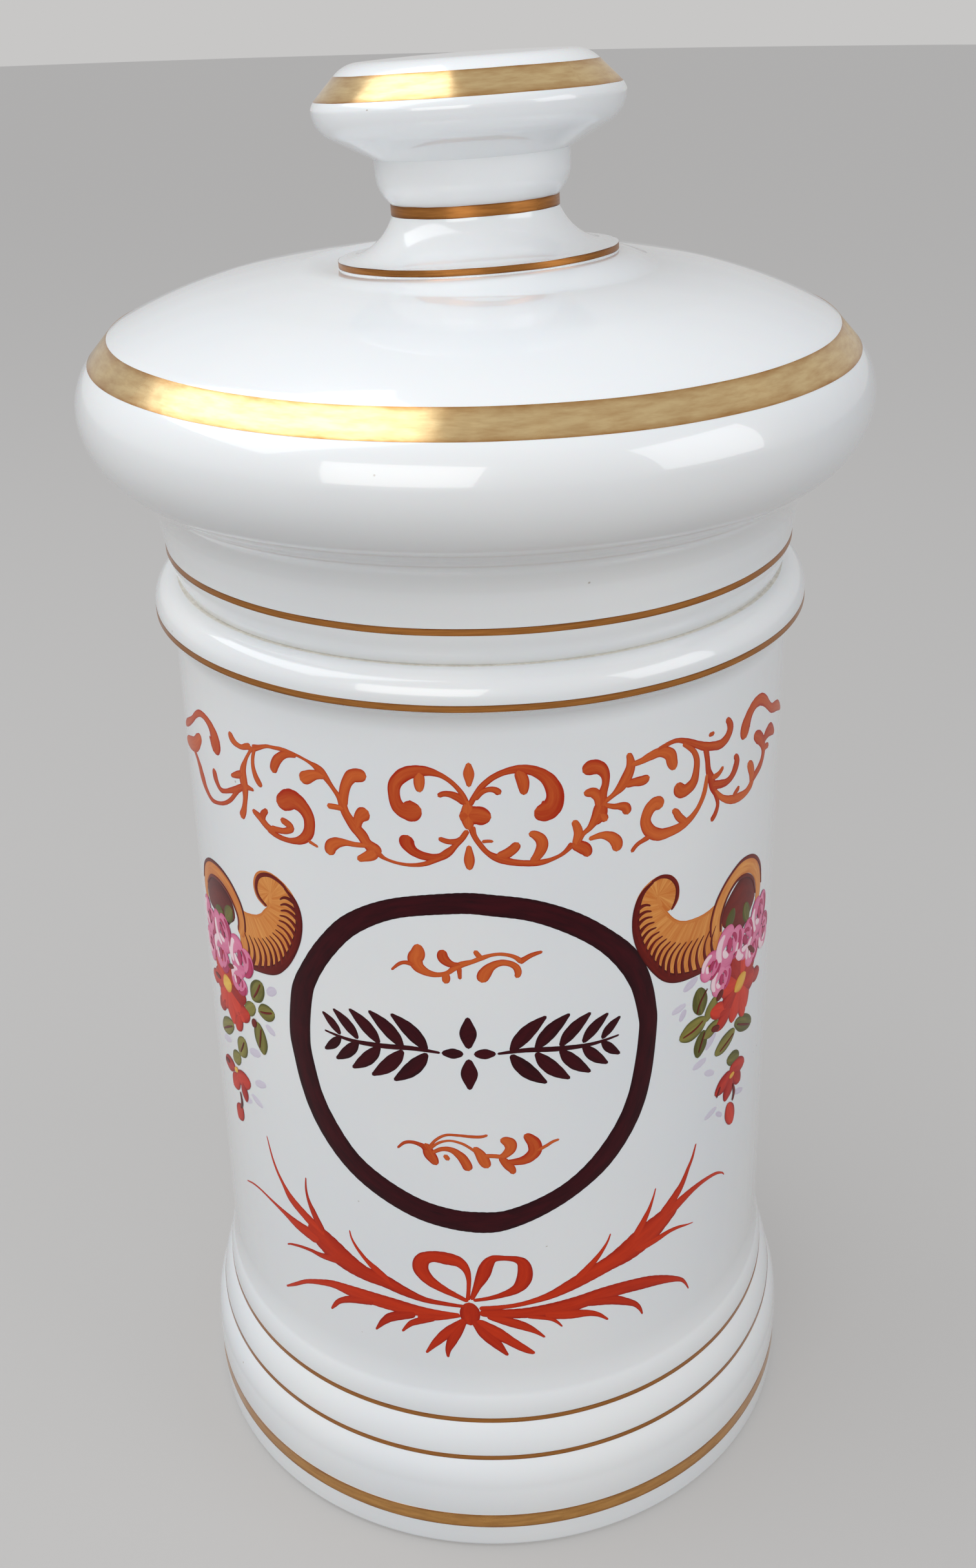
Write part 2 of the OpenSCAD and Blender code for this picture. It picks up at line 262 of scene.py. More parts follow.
def bare_porcelain():
    """Porcelain wiped clean of glaze: matt and faintly cream, with a fine sandy grain."""
    material, tree, shader = plain_material("bare_porcelain")
    grain = noise_on(tree, object_place(tree), Scale=900.0, Detail=3.0)
    body = ramp(tree, grain, (0.3, paint(204, 198, 186)), (0.7, paint(226, 222, 213)))
    give(tree, shader, Base_Color=body, Roughness=0.85)
    add_waver(tree, shader, Fine_scale=1500.0, Fine_height=0.00002)
    return material


glaze = glazed_porcelain()
bare = bare_porcelain()

recess_edge, recess_low = (REST_IN - 11.0, RECESS_Z), (REST_IN - 1.5, 5.0)
inner_low = (WALL_LOW[0] - WALL_T, FLOOR_Z + FLOOR_ROUND)
floor_edge = (inner_low[0] - FLOOR_ROUND, FLOOR_Z)
jar_outline = (
    [(0, RECESS_Z)]
    + arc(recess_edge, recess_low, -level_sag(recess_edge, recess_low))
    + [recess_low, (REST_IN, 0)]
    + quarter((REST_OUT, 0), (FOOT_R, FOOT_ROUND))
    + [(FOOT_R, FOOT_ROUND)]
    + arc(FOOT_BAND[1], TORUS_CREST, 0.2)
    + arc(TORUS_CREST, TORUS_LINE[0], 0.4)
    + [TORUS_LINE[0]]
    + arc(TORUS_LINE[1], RIB_LINE[0], 0.4)
    + [RIB_LINE[0]]
    + arc(RIB_LINE[1], RIB_FADE, 0.25)
    + arc(RIB_FADE, WALL_LOW, -0.15)
    + [WALL_LOW]
    + arc(WALL_TOP, COLLAR_LINE[0], -1)
    + [COLLAR_LINE[0]]
    + arc(COLLAR_LINE[1], SEAT_EDGE, level_sag(COLLAR_LINE[1], SEAT_EDGE))
    + [SEAT_EDGE]
    + quarter((MOUTH_R + MOUTH_ROUND, JAR_H), (MOUTH_R, JAR_H - MOUTH_ROUND))
    + [(MOUTH_R, JAR_H - MOUTH_ROUND), (MOUTH_R, MOUTH_LOW), (WALL_TOP[0] - WALL_T, THROAT_TOP)]
    + quarter(inner_low, floor_edge, -1)
    + [floor_edge, (0, FLOOR_Z)]
)


def jar_unglazed(r, z):
    """The resting ring and the seat."""
    on_ring = z < 0.35 and r > REST_IN - 0.5
    on_seat = z > JAR_H - 0.05 and r < SEAT_EDGE[0]
    return on_ring or on_seat


jar = turned("jar_body", jar_outline, (glaze, bare), jar_unglazed)
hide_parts("jar")
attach(jar, "jar_body")


# ---- The scroll frieze --------------------------------------------------------------------------
# A band of acanthus scrolls under the collar, painted freehand in orange iron red with a pointed
# brush and fired on over the glaze. A stroke is drawn flat, as (way round the wall, height, width)
# in millimetres; the tree below gives it a low rounded back and rolls it onto the wall.

UNROLL_R = 57.5
STROKE_STEP = 0.24
STROKE_HEIGHT = 0.04
EDGE_DEPTH = 0.006
THINNEST = 0.00001
BRISTLES = 7
BRUSH_GIVE = 6


def stroke_tree():
    """Tree: flat lines whose radius is half a stroke's width, made into enamel on the wall."""
    tree = bpy.data.node_groups.new("brush_strokes", "GeometryNodeTree")

    def socket(name, kind, in_out="INPUT"):
        return tree.interface.new_socket(name, in_out=in_out, socket_type="NodeSocket" + kind)

    socket("Lines", "Geometry")
    for name, size in (
        ("Low radius", WALL_LOW[0]), ("Low height", WALL_LOW[1]), ("High radius", WALL_TOP[0]),
        ("High height", WALL_TOP[1]), ("Unroll radius", UNROLL_R), ("Enamel height", STROKE_HEIGHT),
        ("Edge depth", EDGE_DEPTH), ("Layer", 0.0), ("Step", STROKE_STEP),
    ):
        socket(name, "Float").default_value = size * MM
    socket("Points across", "Int").default_value = BRISTLES
    socket("Enamel", "Material")
    socket("Painting", "Geometry", "OUTPUT")
    start, end = tree.nodes.new("NodeGroupInput").outputs, tree.nodes.new("NodeGroupOutput")

    def new(kind, *inputs, **values):
        return node(tree, kind, *inputs, **values)

    def sum_of(operation, *inputs, clamp=False):
        return maths(tree, operation, *inputs, clamp=clamp)

    def store(geometry, name, kind, value):
        return new("GeometryNodeStoreNamedAttribute", data_type=kind, domain="POINT", Name=name,
                   Geometry=geometry, Value=value).outputs["Geometry"]

    def read(name, kind="FLOAT"):
        made = new("GeometryNodeInputNamedAttribute", data_type=kind, Name=name)
        return made.outputs["Attribute"]

    smooth = new("GeometryNodeCurveSplineType", spline_type="CATMULL_ROM", Curve=start["Lines"])
    fine = new("GeometryNodeSetSplineResolution", Resolution=16, Geometry=smooth.outputs["Curve"])
    even = new("GeometryNodeResampleCurve", mode="LENGTH", Curve=fine.outputs["Geometry"],
               Length=start["Step"])

    # A brush swells and narrows softly, and its width dies away over a stroke's last half width.
    way = new("GeometryNodeSplineParameter").outputs["Length"]
    whole = new("GeometryNodeSplineLength").outputs["Length"]
    drawn = new("GeometryNodeInputRadius").outputs[0]
    swell = new("GeometryNodeBlurAttribute", drawn, data_type="FLOAT", Iterations=BRUSH_GIVE)
    radius = swell.outputs[0]
    nearest = sum_of("MINIMUM", way, sum_of("SUBTRACT", whole, way))
    share = sum_of("DIVIDE", nearest, sum_of("MAXIMUM", radius, THINNEST), clamp=True)
    missing = sum_of("SUBTRACT", 1.0, share)
    cap = sum_of("SQRT", sum_of("SUBTRACT", 1.0, sum_of("MULTIPLY", missing, missing)))
    tangent = new("GeometryNodeInputTangent").outputs[0]
    side = new("ShaderNodeVectorMath", tangent, (0, 0, 1), operation="CROSS_PRODUCT")
    position = new("GeometryNodeInputPosition").outputs[0]
    which = new("GeometryNodeCurveOfPoint").outputs["Curve Index"]
    chance = new("FunctionNodeRandomValue", data_type="FLOAT", Seed=4, ID=which)
    curve = even.outputs["Curve"]
    for name, kind, value in (
        ("half", "FLOAT", sum_of("MULTIPLY", radius, cap)), ("centre", "FLOAT_VECTOR", position),
        ("side", "FLOAT_VECTOR", side.outputs["Vector"]), ("along", "FLOAT", way),
        ("stroke", "FLOAT", chance.outputs[1]),
    ):
        curve = store(curve, name, kind, value)

    # The row of bristles that is drawn along the line, closer together at its ends.
    bristles = new("GeometryNodeCurvePrimitiveLine", Start=(-1, 0, 0), End=(1, 0, 0))
    row = new("GeometryNodeResampleCurve", mode="COUNT", Curve=bristles.outputs["Curve"],
              Count=start["Points across"])
    apart = new("ShaderNodeSeparateXYZ", position).outputs["X"]
    closer = sum_of("SINE", sum_of("MULTIPLY", apart, math.pi / 2))
    profile = store(row.outputs["Curve"], "across", "FLOAT", closer)
    ribbon = tree.nodes.new("GeometryNodeCurveToMesh")
    give(tree, ribbon, Curve=curve, Profile_Curve=profile)

    # Each point's flat place, then its height over the glaze, then its place on the wall.
    across = read("across")
    reach = new("ShaderNodeVectorMath", read("side", "FLOAT_VECTOR"), operation="SCALE",
                Scale=sum_of("MULTIPLY", read("half"), across))
    flat = new("ShaderNodeVectorMath", read("centre", "FLOAT_VECTOR"), reach.outputs["Vector"],
               operation="ADD")
    xyz = new("ShaderNodeSeparateXYZ", flat.outputs["Vector"]).outputs
    square = sum_of("MULTIPLY", across, across)
    back = sum_of("SQRT", sum_of("SUBTRACT", 1.0, square, clamp=True))
    lift = sum_of("SUBTRACT", sum_of("MULTIPLY", back, start["Enamel height"]), start["Edge depth"])
    lift = sum_of("ADD", lift, start["Layer"])
    rise = sum_of("SUBTRACT", xyz["Y"], start["Low height"])
    span = sum_of("SUBTRACT", start["High height"], start["Low height"])
    lean = sum_of("SUBTRACT", start["High radius"], start["Low radius"])
    leant = sum_of("MULTIPLY", lean, sum_of("DIVIDE", rise, span))
    out = sum_of("ADD", sum_of("ADD", start["Low radius"], leant), lift)
    angle = sum_of("DIVIDE", xyz["X"], start["Unroll radius"])
    forwards = sum_of("MULTIPLY", sum_of("COSINE", angle), -1.0)
    placed = new("ShaderNodeCombineXYZ", sum_of("MULTIPLY", out, sum_of("SINE", angle)),
                 sum_of("MULTIPLY", out, forwards), xyz["Y"])
    geometry = new("GeometryNodeSetPosition", Geometry=ribbon.outputs["Mesh"],
                   Position=placed.outputs["Vector"]).outputs["Geometry"]
    for kind, values in (
        ("RemoveAttribute", {"Name": "half"}), ("RemoveAttribute", {"Name": "centre"}),
        ("RemoveAttribute", {"Name": "side"}), ("SetShadeSmooth", {}), ("RealizeInstances", {}),
        ("SetMaterial", {"Material": start["Enamel"]}),
    ):
        geometry = new("GeometryNode" + kind, Geometry=geometry, **values).outputs["Geometry"]
    give(tree, end, Painting=geometry)
    return tree


STROKES = stroke_tree()
SOCKET = {item.name: item.identifier for item in STROKES.interface.items_tree
          if item.in_out == "INPUT"}


def brushed(name, strokes, material, layer=0.0, height=STROKE_HEIGHT):
    """Paints strokes on the jar's wall. Sizes are in millimetres."""
    lines = bpy.data.curves.new(name, "CURVE")
    lines.dimensions = "3D"
    for stroke in strokes:
        spline = lines.splines.new("POLY")
        spline.points.add(len(stroke) - 1)
        for point, (s, z, width) in zip(spline.points, stroke):
            point.co = (s * MM, z * MM, 0, 1)
            point.radius = width * MM / 2
    drawing = put(name + "_drawing", lines)
    roller = drawing.modifiers.new("roll", "NODES")
    roller.node_group = STROKES
    roller[SOCKET["Enamel height"]] = height * MM
    roller[SOCKET["Layer"]] = layer * MM
    roller[SOCKET["Enamel"]] = material
    shown = drawing.evaluated_get(bpy.context.evaluated_depsgraph_get())
    mesh = bpy.data.meshes.new_from_object(shown)
    bpy.data.objects.remove(drawing)
    bm = bmesh.new()
    bm.from_mesh(mesh)
    bmesh.ops.remove_doubles(bm, verts=bm.verts, dist=2e-6)
    bmesh.ops.dissolve_degenerate(bm, edges=bm.edges, dist=1e-7)
    bm.to_mesh(mesh)
    bm.free()
    mesh.name = name
    piece = put(name, mesh)
    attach(piece, "jar_body")


def brush_wash():
    """Group: how thickly the colour lies, 0 to 1. It pools at a stroke's edges and in streaks."""
    tree, start, end = number_group("brush_wash", (
        ("Pooling", 0.45), ("Streaks", 0.5), ("Between strokes", 0.25)), "Depth")
    across, along, stroke = (node(tree, "ShaderNodeAttribute", attribute_name=name).outputs["Fac"]
                             for name in ("across", "along", "stroke"))
    edge = maths(tree, "POWER", across, 4.0)
    # Streaks are long along a stroke, narrow across it, and differ from stroke to stroke.
    place = node(tree, "ShaderNodeCombineXYZ", maths(tree, "MULTIPLY", across, 2.2),
                 maths(tree, "MULTIPLY", along, 160.0), maths(tree, "MULTIPLY", stroke, 40.0))
    streaks = noise_on(tree, place.outputs["Vector"], Scale=1.0, Detail=3.0, Roughness=0.6)
    pooled, streaked, varied = (
        maths(tree, "MULTIPLY", source, start[amount]) for source, amount in
        ((edge, "Pooling"), (streaks, "Streaks"), (stroke, "Between strokes")))
    wire(tree, end, maths(tree, "ADD", maths(tree, "ADD", pooled, streaked), varied))
    return tree


WASH = brush_wash()


def enamel(name, thin, thick, **wash):
    """Overglaze enamel with a soft gloss, in one colour where thin and another where it pools."""
    material, tree, shader = plain_material(name)
    depth = node(tree, "ShaderNodeGroup", node_tree=WASH, **wash).outputs["Depth"]
    give(tree, shader, Base_Color=ramp(tree, depth, (0.2, thin), (0.8, thick)), Roughness=0.32,
         Specular_IOR_Level=0.15)
    add_waver(tree, shader, Fine_scale=1100.0, Fine_height=0.000008)
    return material


orange_red = enamel("orange_red_enamel", paint(210, 106, 50), paint(170, 42, 18), Streaks=0.6,
                    Between_strokes=0.32)

FRIEZE_LEFT = [
    # The big scroll beside the centre, and the small curl inside it.
    [(-3.1, 166.4, 1.2), (-3.7, 168.2, .95), (-5.2, 170.2, .85), (-7.3, 171.7, 1),
     (-10, 172.3, 1.9), (-13, 171.6, 2.5), (-14.9, 169.6, 2.3), (-15.1, 167.2, 2.1),
     (-14.4, 165.4, 2.6), (-12.9, 164.9, 3.8), (-11.8, 165, 4.2), (-10.6, 165.4, 3)],
    [(-10.7, 172, 1.6), (-10.8, 170.4, 2), (-10.8, 169, 1.5), (-10.7, 168.4, .7)],
    [(-3.2, 166.6, 1.3), (-4.4, 167.7, 1.5), (-5.8, 168.3, 1.2), (-7, 168.3, 1), (-7.8, 167.8, .9)],
    # The knot in the centre and the drops above and below it.
    [(-3, 167.2, .8), (-2.9, 165, 2.6), (-2.9, 163.6, 2.4), (-2.8, 161.8, 1)],
    [(-4.4, 164.4, 2.4), (-3.2, 164.4, 3.2), (-1.6, 164.5, 3.4), (-.2, 164.2, 3.4), (.9, 164, 2.4)],
    [(-2.6, 174, .5), (-2.6, 172.2, 2), (-2.6, 171, 1.5), (-2.65, 169.6, .5)],
    [(-2.9, 159, .6), (-2.9, 157.2, 1.6), (-2.9, 155.8, 1.9), (-2.9, 154.3, .7)],
    # The lower arc with its curl and barb.
    [(-3, 161.8, .9), (-3.9, 160.4, 1.1), (-5.2, 158.8, 1), (-6.6, 157.4, 1.6), (-8.5, 156.2, 1.2),
     (-10.5, 155.2, .9), (-13, 154.8, .7), (-15.5, 155, .6), (-17.5, 155.6, .7),
     (-18.4, 156.3, 1.4)],
    [(-6.6, 157.2, 1.2), (-8.5, 156.6, 1.3), (-10.5, 156.7, 1.6), (-12.3, 157.5, 1.8),
     (-13.3, 159, 2.8), (-13.1, 160.4, 2.8)],
    [(-3.9, 160.5, .8), (-4.8, 159.7, 1.2), (-6.2, 159.6, 1), (-7.3, 159.9, 1), (-7.9, 160.3, .7)],
    # The first stem and its leaves.
    [(-18, 156.1, 1.8), (-18.8, 156.7, 2.6), (-20.4, 157.9, 2), (-21.2, 159.2, 2.2),
     (-22.6, 160.8, 2.2), (-24, 162.8, 1.7), (-24.6, 164.6, 1.7), (-25.2, 165.8, 1.1),
     (-26.5, 167.5, .9), (-27.8, 169.2, 1.5), (-28.8, 170.1, 1.6), (-30.5, 170.9, .7),
     (-33, 171.6, .6), (-36, 171.9, .8), (-38.5, 171.7, .7), (-40, 171.5, .7), (-42, 170.7, 1),
     (-43.8, 170, 1.6)],
    [(-24.4, 164, 1.6), (-24.2, 166.4, 1.9), (-23.6, 168.4, 2), (-22.6, 169.9, 2.4),
     (-21.3, 170.3, 2.6), (-19.8, 170.3, 2.2)],
    [(-22.2, 160.4, 1.7), (-21.7, 162.2, 1.9), (-20.9, 163.2, 2.8), (-19.8, 164, 2.8)],
    [(-24.2, 163.7, 1.2), (-26, 163.7, 1.1), (-27.6, 163.6, 1.1)],
    [(-19.6, 157.6, 1), (-22.5, 157.3, 1), (-24.5, 157.3, 1.3), (-26.2, 156.9, 2.2),
     (-27.4, 155.9, 2.4), (-27.7, 154.2, 2)],
    [(-18.9, 157.6, 2.2), (-19.6, 156, 2.4), (-20.9, 155.2, 1.7), (-22.4, 154.5, 1)],
    [(-27.6, 169, 1.2), (-29.5, 168.9, 1.8), (-31.2, 168.1, 2.5), (-32.8, 167.2, 2.4)],
    [(-33.2, 171.5, .8), (-35.6, 171.2, 1.4), (-37.3, 170, 1.8), (-38.3, 168.6, 2),
     (-38.9, 166.9, 1.6)],
    # The big curl and its leaf pair.
    [(-38.6, 161.6, 2.8), (-37, 162, 3.6), (-35, 163, 4), (-33, 162.4, 3.2), (-31.6, 160.6, 2.6),
     (-31.5, 158.6, 2.3), (-32.1, 157, 2.2), (-33.6, 155.6, 1.7), (-36, 154.8, 1.1),
     (-39, 154.8, 1.2), (-41.5, 155.6, 1.5)],
    [(-32, 155.9, .8), (-29.9, 155.2, .5)],
    [(-38, 158.3, 1.2), (-36.4, 158, 1.6), (-35.6, 157.3, 1.5), (-37.2, 156.3, 1.2),
     (-40.5, 155.8, 1.4)],
    [(-39.5, 155.3, 1.6), (-41.5, 155.9, 1.6), (-43.1, 157, 1.8), (-45.2, 157.8, .9)],
    [(-42.6, 156.8, 1.6), (-42.2, 158, 1.5), (-41, 159.2, .9)],
    # The second stem, with a long curl each side.
    [(-43.6, 170.2, 1.3), (-44.3, 169.4, .7), (-45.7, 167.4, .8), (-46.8, 165.2, 1.6),
     (-47.1, 163.2, 2.4), (-46.9, 161.6, 2.2), (-46.9, 160, 1.5), (-47.2, 158.4, 1.3),
     (-47.8, 156.6, 1.6), (-48.8, 155, 1.7)],
    [(-47, 164, 1.8), (-48.6, 163.4, 1.5), (-50.2, 162.7, 1), (-51, 162.4, .4)],
    [(-46.4, 161.9, 1.4), (-45.2, 161.9, .9), (-44.2, 161.9, .5)],
    [(-47.2, 161.7, 1.2), (-49.5, 160.2, 1.5), (-51.5, 159.3, 1.1), (-53.5, 158.4, .9),
     (-55.3, 158, 1.2), (-56.6, 158.9, 1.8), (-57.2, 160, 2.2), (-57.2, 161.4, 1.5)],
    [(-48, 161.4, 1.1), (-50, 159.2, 1), (-52, 157.2, .9), (-54.5, 155.6, .8), (-57.5, 154.5, .8),
     (-60, 154.2, 1.2), (-62.3, 155.3, 1.9), (-63.8, 156.9, 2.8), (-65, 158.6, 2.4),
     (-66.6, 160, 1.6), (-68.6, 161, 1.6)],
    [(-44, 170.2, 1.4), (-45.2, 169.9, 1.3), (-46.8, 169.3, 1), (-48.4, 169.4, 1.3),
     (-49.6, 170, 1.9), (-50.1, 171.2, 1.2)],
    [(-43.1, 170.2, .8), (-43.8, 168.2, .9), (-43.9, 166.4, 1.1), (-43.4, 164.8, 1.5),
     (-42.6, 163.8, 1.6), (-41.8, 163.5, .9)],
    # The end curl, and the stem that closes the band.
    [(-76, 162.4, .8), (-73, 164, 1.6), (-70, 165.5, 1.6), (-67, 167.2, 1.3), (-64.5, 169, 1.3),
     (-62, 170.3, 1.4), (-59.5, 170.5, 1.6), (-57.2, 169.6, 2.4), (-55.9, 167.8, 3.8),
     (-56.2, 166.2, 4.6), (-57, 165, 3.6)],
    [(-62.4, 165.6, 1.4), (-64.4, 164, 2.8), (-66.5, 162.4, 3), (-69.4, 161.3, 3),
     (-73, 160.2, 2.4), (-77, 158.8, 1)],
]

FRIEZE_RIGHT = [
    # The big scroll beside the centre, and the small curl inside it.
    [(-2.6, 166.3, 1), (-1.8, 167.8, 1), (-.6, 169.6, 1.1), (1.2, 171.2, 1.1), (3.4, 172.2, 1.2),
     (5.8, 172.5, 1.6), (8.2, 171.9, 1.9), (10.2, 170.4, 2.4), (11.3, 168.4, 2.9),
     (11.5, 166.6, 3.2), (10.8, 165, 3.8), (9.3, 164.5, 3.9), (8, 164.8, 3)],
    [(5.4, 172.4, 1.8), (6.1, 170.6, 2.2), (6.3, 169.2, 1.9), (6.3, 167.8, 1)],
    [(-1.9, 167.3, 1.2), (-.9, 168.5, 1.2), (.4, 169.1, .9), (1.6, 169, 1.2), (2.5, 168.2, 1.3)],
    # The lower arc, its leaf and its curl.
    [(-2.4, 162.6, 1.4), (-2, 160.8, 1), (-1, 159, 1), (.3, 157.4, 1), (2, 156.4, 1.6),
     (4.2, 155.6, 1.3), (6.5, 155.2, 1.2), (8.8, 155.1, 1.2), (11, 155.5, .8), (13, 156.4, .8),
     (14.6, 158, 1.4)],
    [(1.6, 156.9, 1.2), (3, 157.1, 1.9), (4.4, 158, 1.8), (5.3, 159.2, 1.6)],
    [(7.4, 155.2, 1.2), (8.6, 156.6, 1.8), (9.3, 158.2, 2.1), (9, 159.5, 2), (8, 160.4, 1.6),
     (7, 160.7, .9)],
    [(-.8, 159.6, .6), (.2, 159.7, .7), (1.2, 159.6, .4)],
    # The lobe and the long leaf at the first stem's foot.
    [(14.4, 157.8, 1.8), (16.2, 156.9, 2.4), (17, 156, 2.2), (17.1, 154.9, 1.4)],
    [(15, 157.4, 1.5), (15.5, 159.5, 1.7), (15.2, 161, 1.5), (14.6, 162.2, 1)],
    [(15.2, 157.5, 1.2), (16.3, 159.3, .9), (17.6, 160.4, 1.2), (18.8, 162.2, 2.2),
     (19.4, 163.8, 2.4), (20.4, 165, 1.2)],
    [(17.3, 158.2, .8), (19.6, 158.5, 1.3), (21.4, 157.8, 2), (22.5, 156.4, 2.3),
     (22.4, 154.8, 1.7)],
    # The first stem and its curls.
    [(18.2, 160.8, 1.3), (19.4, 162.4, 2.6), (19.6, 164.4, 1.9), (19.8, 166.2, 1.7),
     (20.3, 168, 1.4), (20.2, 169.6, 1.8), (19.3, 170.9, 2.4), (17.8, 171.3, 2.9),
     (16.2, 170.7, 2.2)],
    [(19.2, 163.8, 1.4), (19, 165.6, 1.8), (18.1, 166.7, 1.9), (17.2, 166.8, 1.6), (16.4, 167, .9)],
    [(19.2, 162.8, 2), (20.6, 161, 1.4)],
    [(20.2, 164, .9), (21.8, 163.4, 1), (23, 163.2, 1.4), (24.1, 162.7, 1.9), (24.5, 161.3, 1.6)],
    [(20, 164.5, 1), (21.8, 165.6, 1), (23.2, 166.8, 2), (24.3, 168.4, 2.2), (24.9, 170, 1.9),
     (24.8, 171.4, 1.5), (24.4, 172.6, .9)],
    [(23.8, 167, 1.5), (25.8, 167, 1.6), (27.3, 166.9, 2), (28.7, 167.2, 1.3)],
    [(24.6, 170.3, 1), (26.8, 170.5, 1.2), (28.8, 171, 1.7), (31, 171.2, 1.9), (32.8, 170.2, 2.4),
     (33.4, 168.6, 2.4), (34, 167.1, 1.4)],
    # The line along the top and the hook that hangs from it.
    [(30.2, 171.7, .9), (32.6, 172.3, .9), (34.5, 172.3, .9), (36.8, 171.4, 1.2), (39, 170.2, 1.4),
     (41, 169.2, 1.7), (43, 168.6, 1.7), (45.2, 168.2, 1.9), (47, 168.8, 2), (47.9, 170.2, 2),
     (47.4, 171.6, 1.5), (46.5, 172.4, .9)],
    [(35.6, 171.4, .8), (38, 169.4, 1.1), (39, 167.4, 1.4), (38.9, 165, 1.7), (38.2, 163.2, 2.4),
     (36.4, 162.4, 2.4), (35.2, 162.9, 2.8), (34.5, 164.4, 1.6)],
    [(41.8, 171, .9), (43.4, 170.9, .8)],
    # The second stem, with the big curl at its foot.
    [(41.1, 169.2, 1.5), (41.7, 166.6, 1.3), (42.1, 164.2, 1.4), (42.9, 162.4, 1.9),
     (43.4, 160.8, 1.7), (44.4, 158.8, 1.1), (45, 156.8, 1), (44.4, 155.2, 1.3),
     (43.2, 154.1, 1.2)],
    [(41.8, 163.8, .8), (41.3, 160.8, 1.3), (40.2, 158.6, 1.2), (38.4, 156.9, 1.4),
     (36, 155.9, 1.8), (33.4, 155.6, 2), (30.8, 155.8, 2.4), (28.8, 157.2, 2.4), (28, 159.2, 2.2),
     (28.8, 161.2, 2.5), (30.2, 161.9, 2.8), (31.5, 160.9, 2.3)],
    [(36.8, 156.2, 1.4), (35.2, 157.8, 1.6), (34.4, 159, 1.4), (33.6, 159.6, .7)],
    [(29, 156, 1.2), (27, 155.4, .9), (26, 154.8, .9), (25.3, 153.9, .8)],
    [(43.2, 161.2, 1.6), (45.4, 160.5, 1.7), (47.6, 160.2, 1.5), (49.4, 161, 1.8),
     (50.4, 162.6, 2.1), (50.2, 163.8, 1.5), (49.4, 164.4, .7)],
    [(43, 162.6, 1.1), (44.8, 162.6, 1.2), (46.3, 163.6, .9)],
    [(43.8, 159.9, 1), (46.2, 157.6, 1.2), (48.8, 156.2, 1.7), (51.6, 155.5, 1.9),
     (54.4, 155.4, 1.6), (56.4, 156.4, 2), (56.4, 158.4, 2.2), (55.6, 160, 2.2), (54.5, 161, 1.1)],
    [(49.6, 156.4, 1.2), (51.8, 157.6, 1.2)],
    # The end curl, and the stem that closes the band.
    [(75, 163.2, .7), (72.6, 164.6, 1.6), (70, 165.9, 2.2), (67.4, 166.7, 2.2), (65.2, 167.4, 1.8),
     (63.2, 168.8, 1.8), (61.2, 170.4, 2.2), (58.8, 171.6, 2.4), (56.2, 171.6, 2.4),
     (54.2, 170.3, 2.8), (53, 168.2, 3.7), (53.5, 166.4, 3.1)],
    [(56.6, 165.6, 1.4), (58.4, 164.6, 2.6), (60.2, 163.2, 2.4), (61.4, 161.5, 2.1),
     (61.5, 159.9, 2), (60.4, 158.4, 2), (58.4, 157.5, 1.8), (56, 156.7, 1.6)],
    [(60.8, 162.2, 1.4), (62.8, 163.2, 2.4), (64.8, 163.3, 2.8), (66.8, 162.3, 2),
     (68.4, 161.2, .8)],
    [(61, 160.6, 1.2), (63, 160.8, 1.4), (64.6, 160.2, .8)],
]
brushed("scroll_frieze", FRIEZE_LEFT + FRIEZE_RIGHT, orange_red)


# ---- The roundel --------------------------------------------------------------------------------
# One thick ring of brown-purple enamel, drawn freehand with a loaded brush, so that it is neither
# quite round nor even in width. Its ends overlap at the foot of the ring.

maroon = enamel("maroon_enamel", paint(70, 8, 18), paint(38, 2, 9), Streaks=0.8, Pooling=0.3)

RING = [
    (-6.4, 80, 4.8), (-2.6, 79.7, 4.9), (1.3, 80, 4.6), (7.7, 82.3, 4.2), (14.5, 86, 4),
    (20.6, 91.2, 4.5), (25.5, 98.3, 4.5), (28.1, 106, 4.3), (29.4, 116.7, 4), (29.1, 121.2, 4.1),
    (27.7, 127.2, 4.3), (24.8, 133, 4.6), (20.3, 138.1, 4.2), (14.5, 142.6, 4.3), (7.9, 145.9, 4.2),
    (1.3, 147.4, 4.2), (-5.4, 147.9, 4.1), (-16, 146.1, 3.9), (-24.1, 141.7, 4), (-29.7, 135.6, 4),
    (-34, 128.8, 4.2), (-36.2, 123.3, 4.9), (-37.3, 115.2, 5.1), (-37, 110.4, 5), (-35.3, 102.6, 5),
    (-32.4, 96.3, 5.2), (-27.8, 90.2, 4.9), (-22.2, 85.9, 4.9), (-14.5, 82, 4.8), (-7.6, 80.2, 4.8),
    (-2.6, 79.8, 4.9), (1.3, 80.1, 4.5), (4.6, 81.1, 4.2),
]
brushed("roundel_ring", [RING], maroon, height=0.07)


# ---- Inside the roundel -------------------------------------------------------------------------
# Two small sprigs in the frieze's red, above and below, and between them a garland of laurel leaves
# with a four-petalled flower in its middle, in the ring's colour. All are freehand strokes of
# enamel, fired on with the ring.

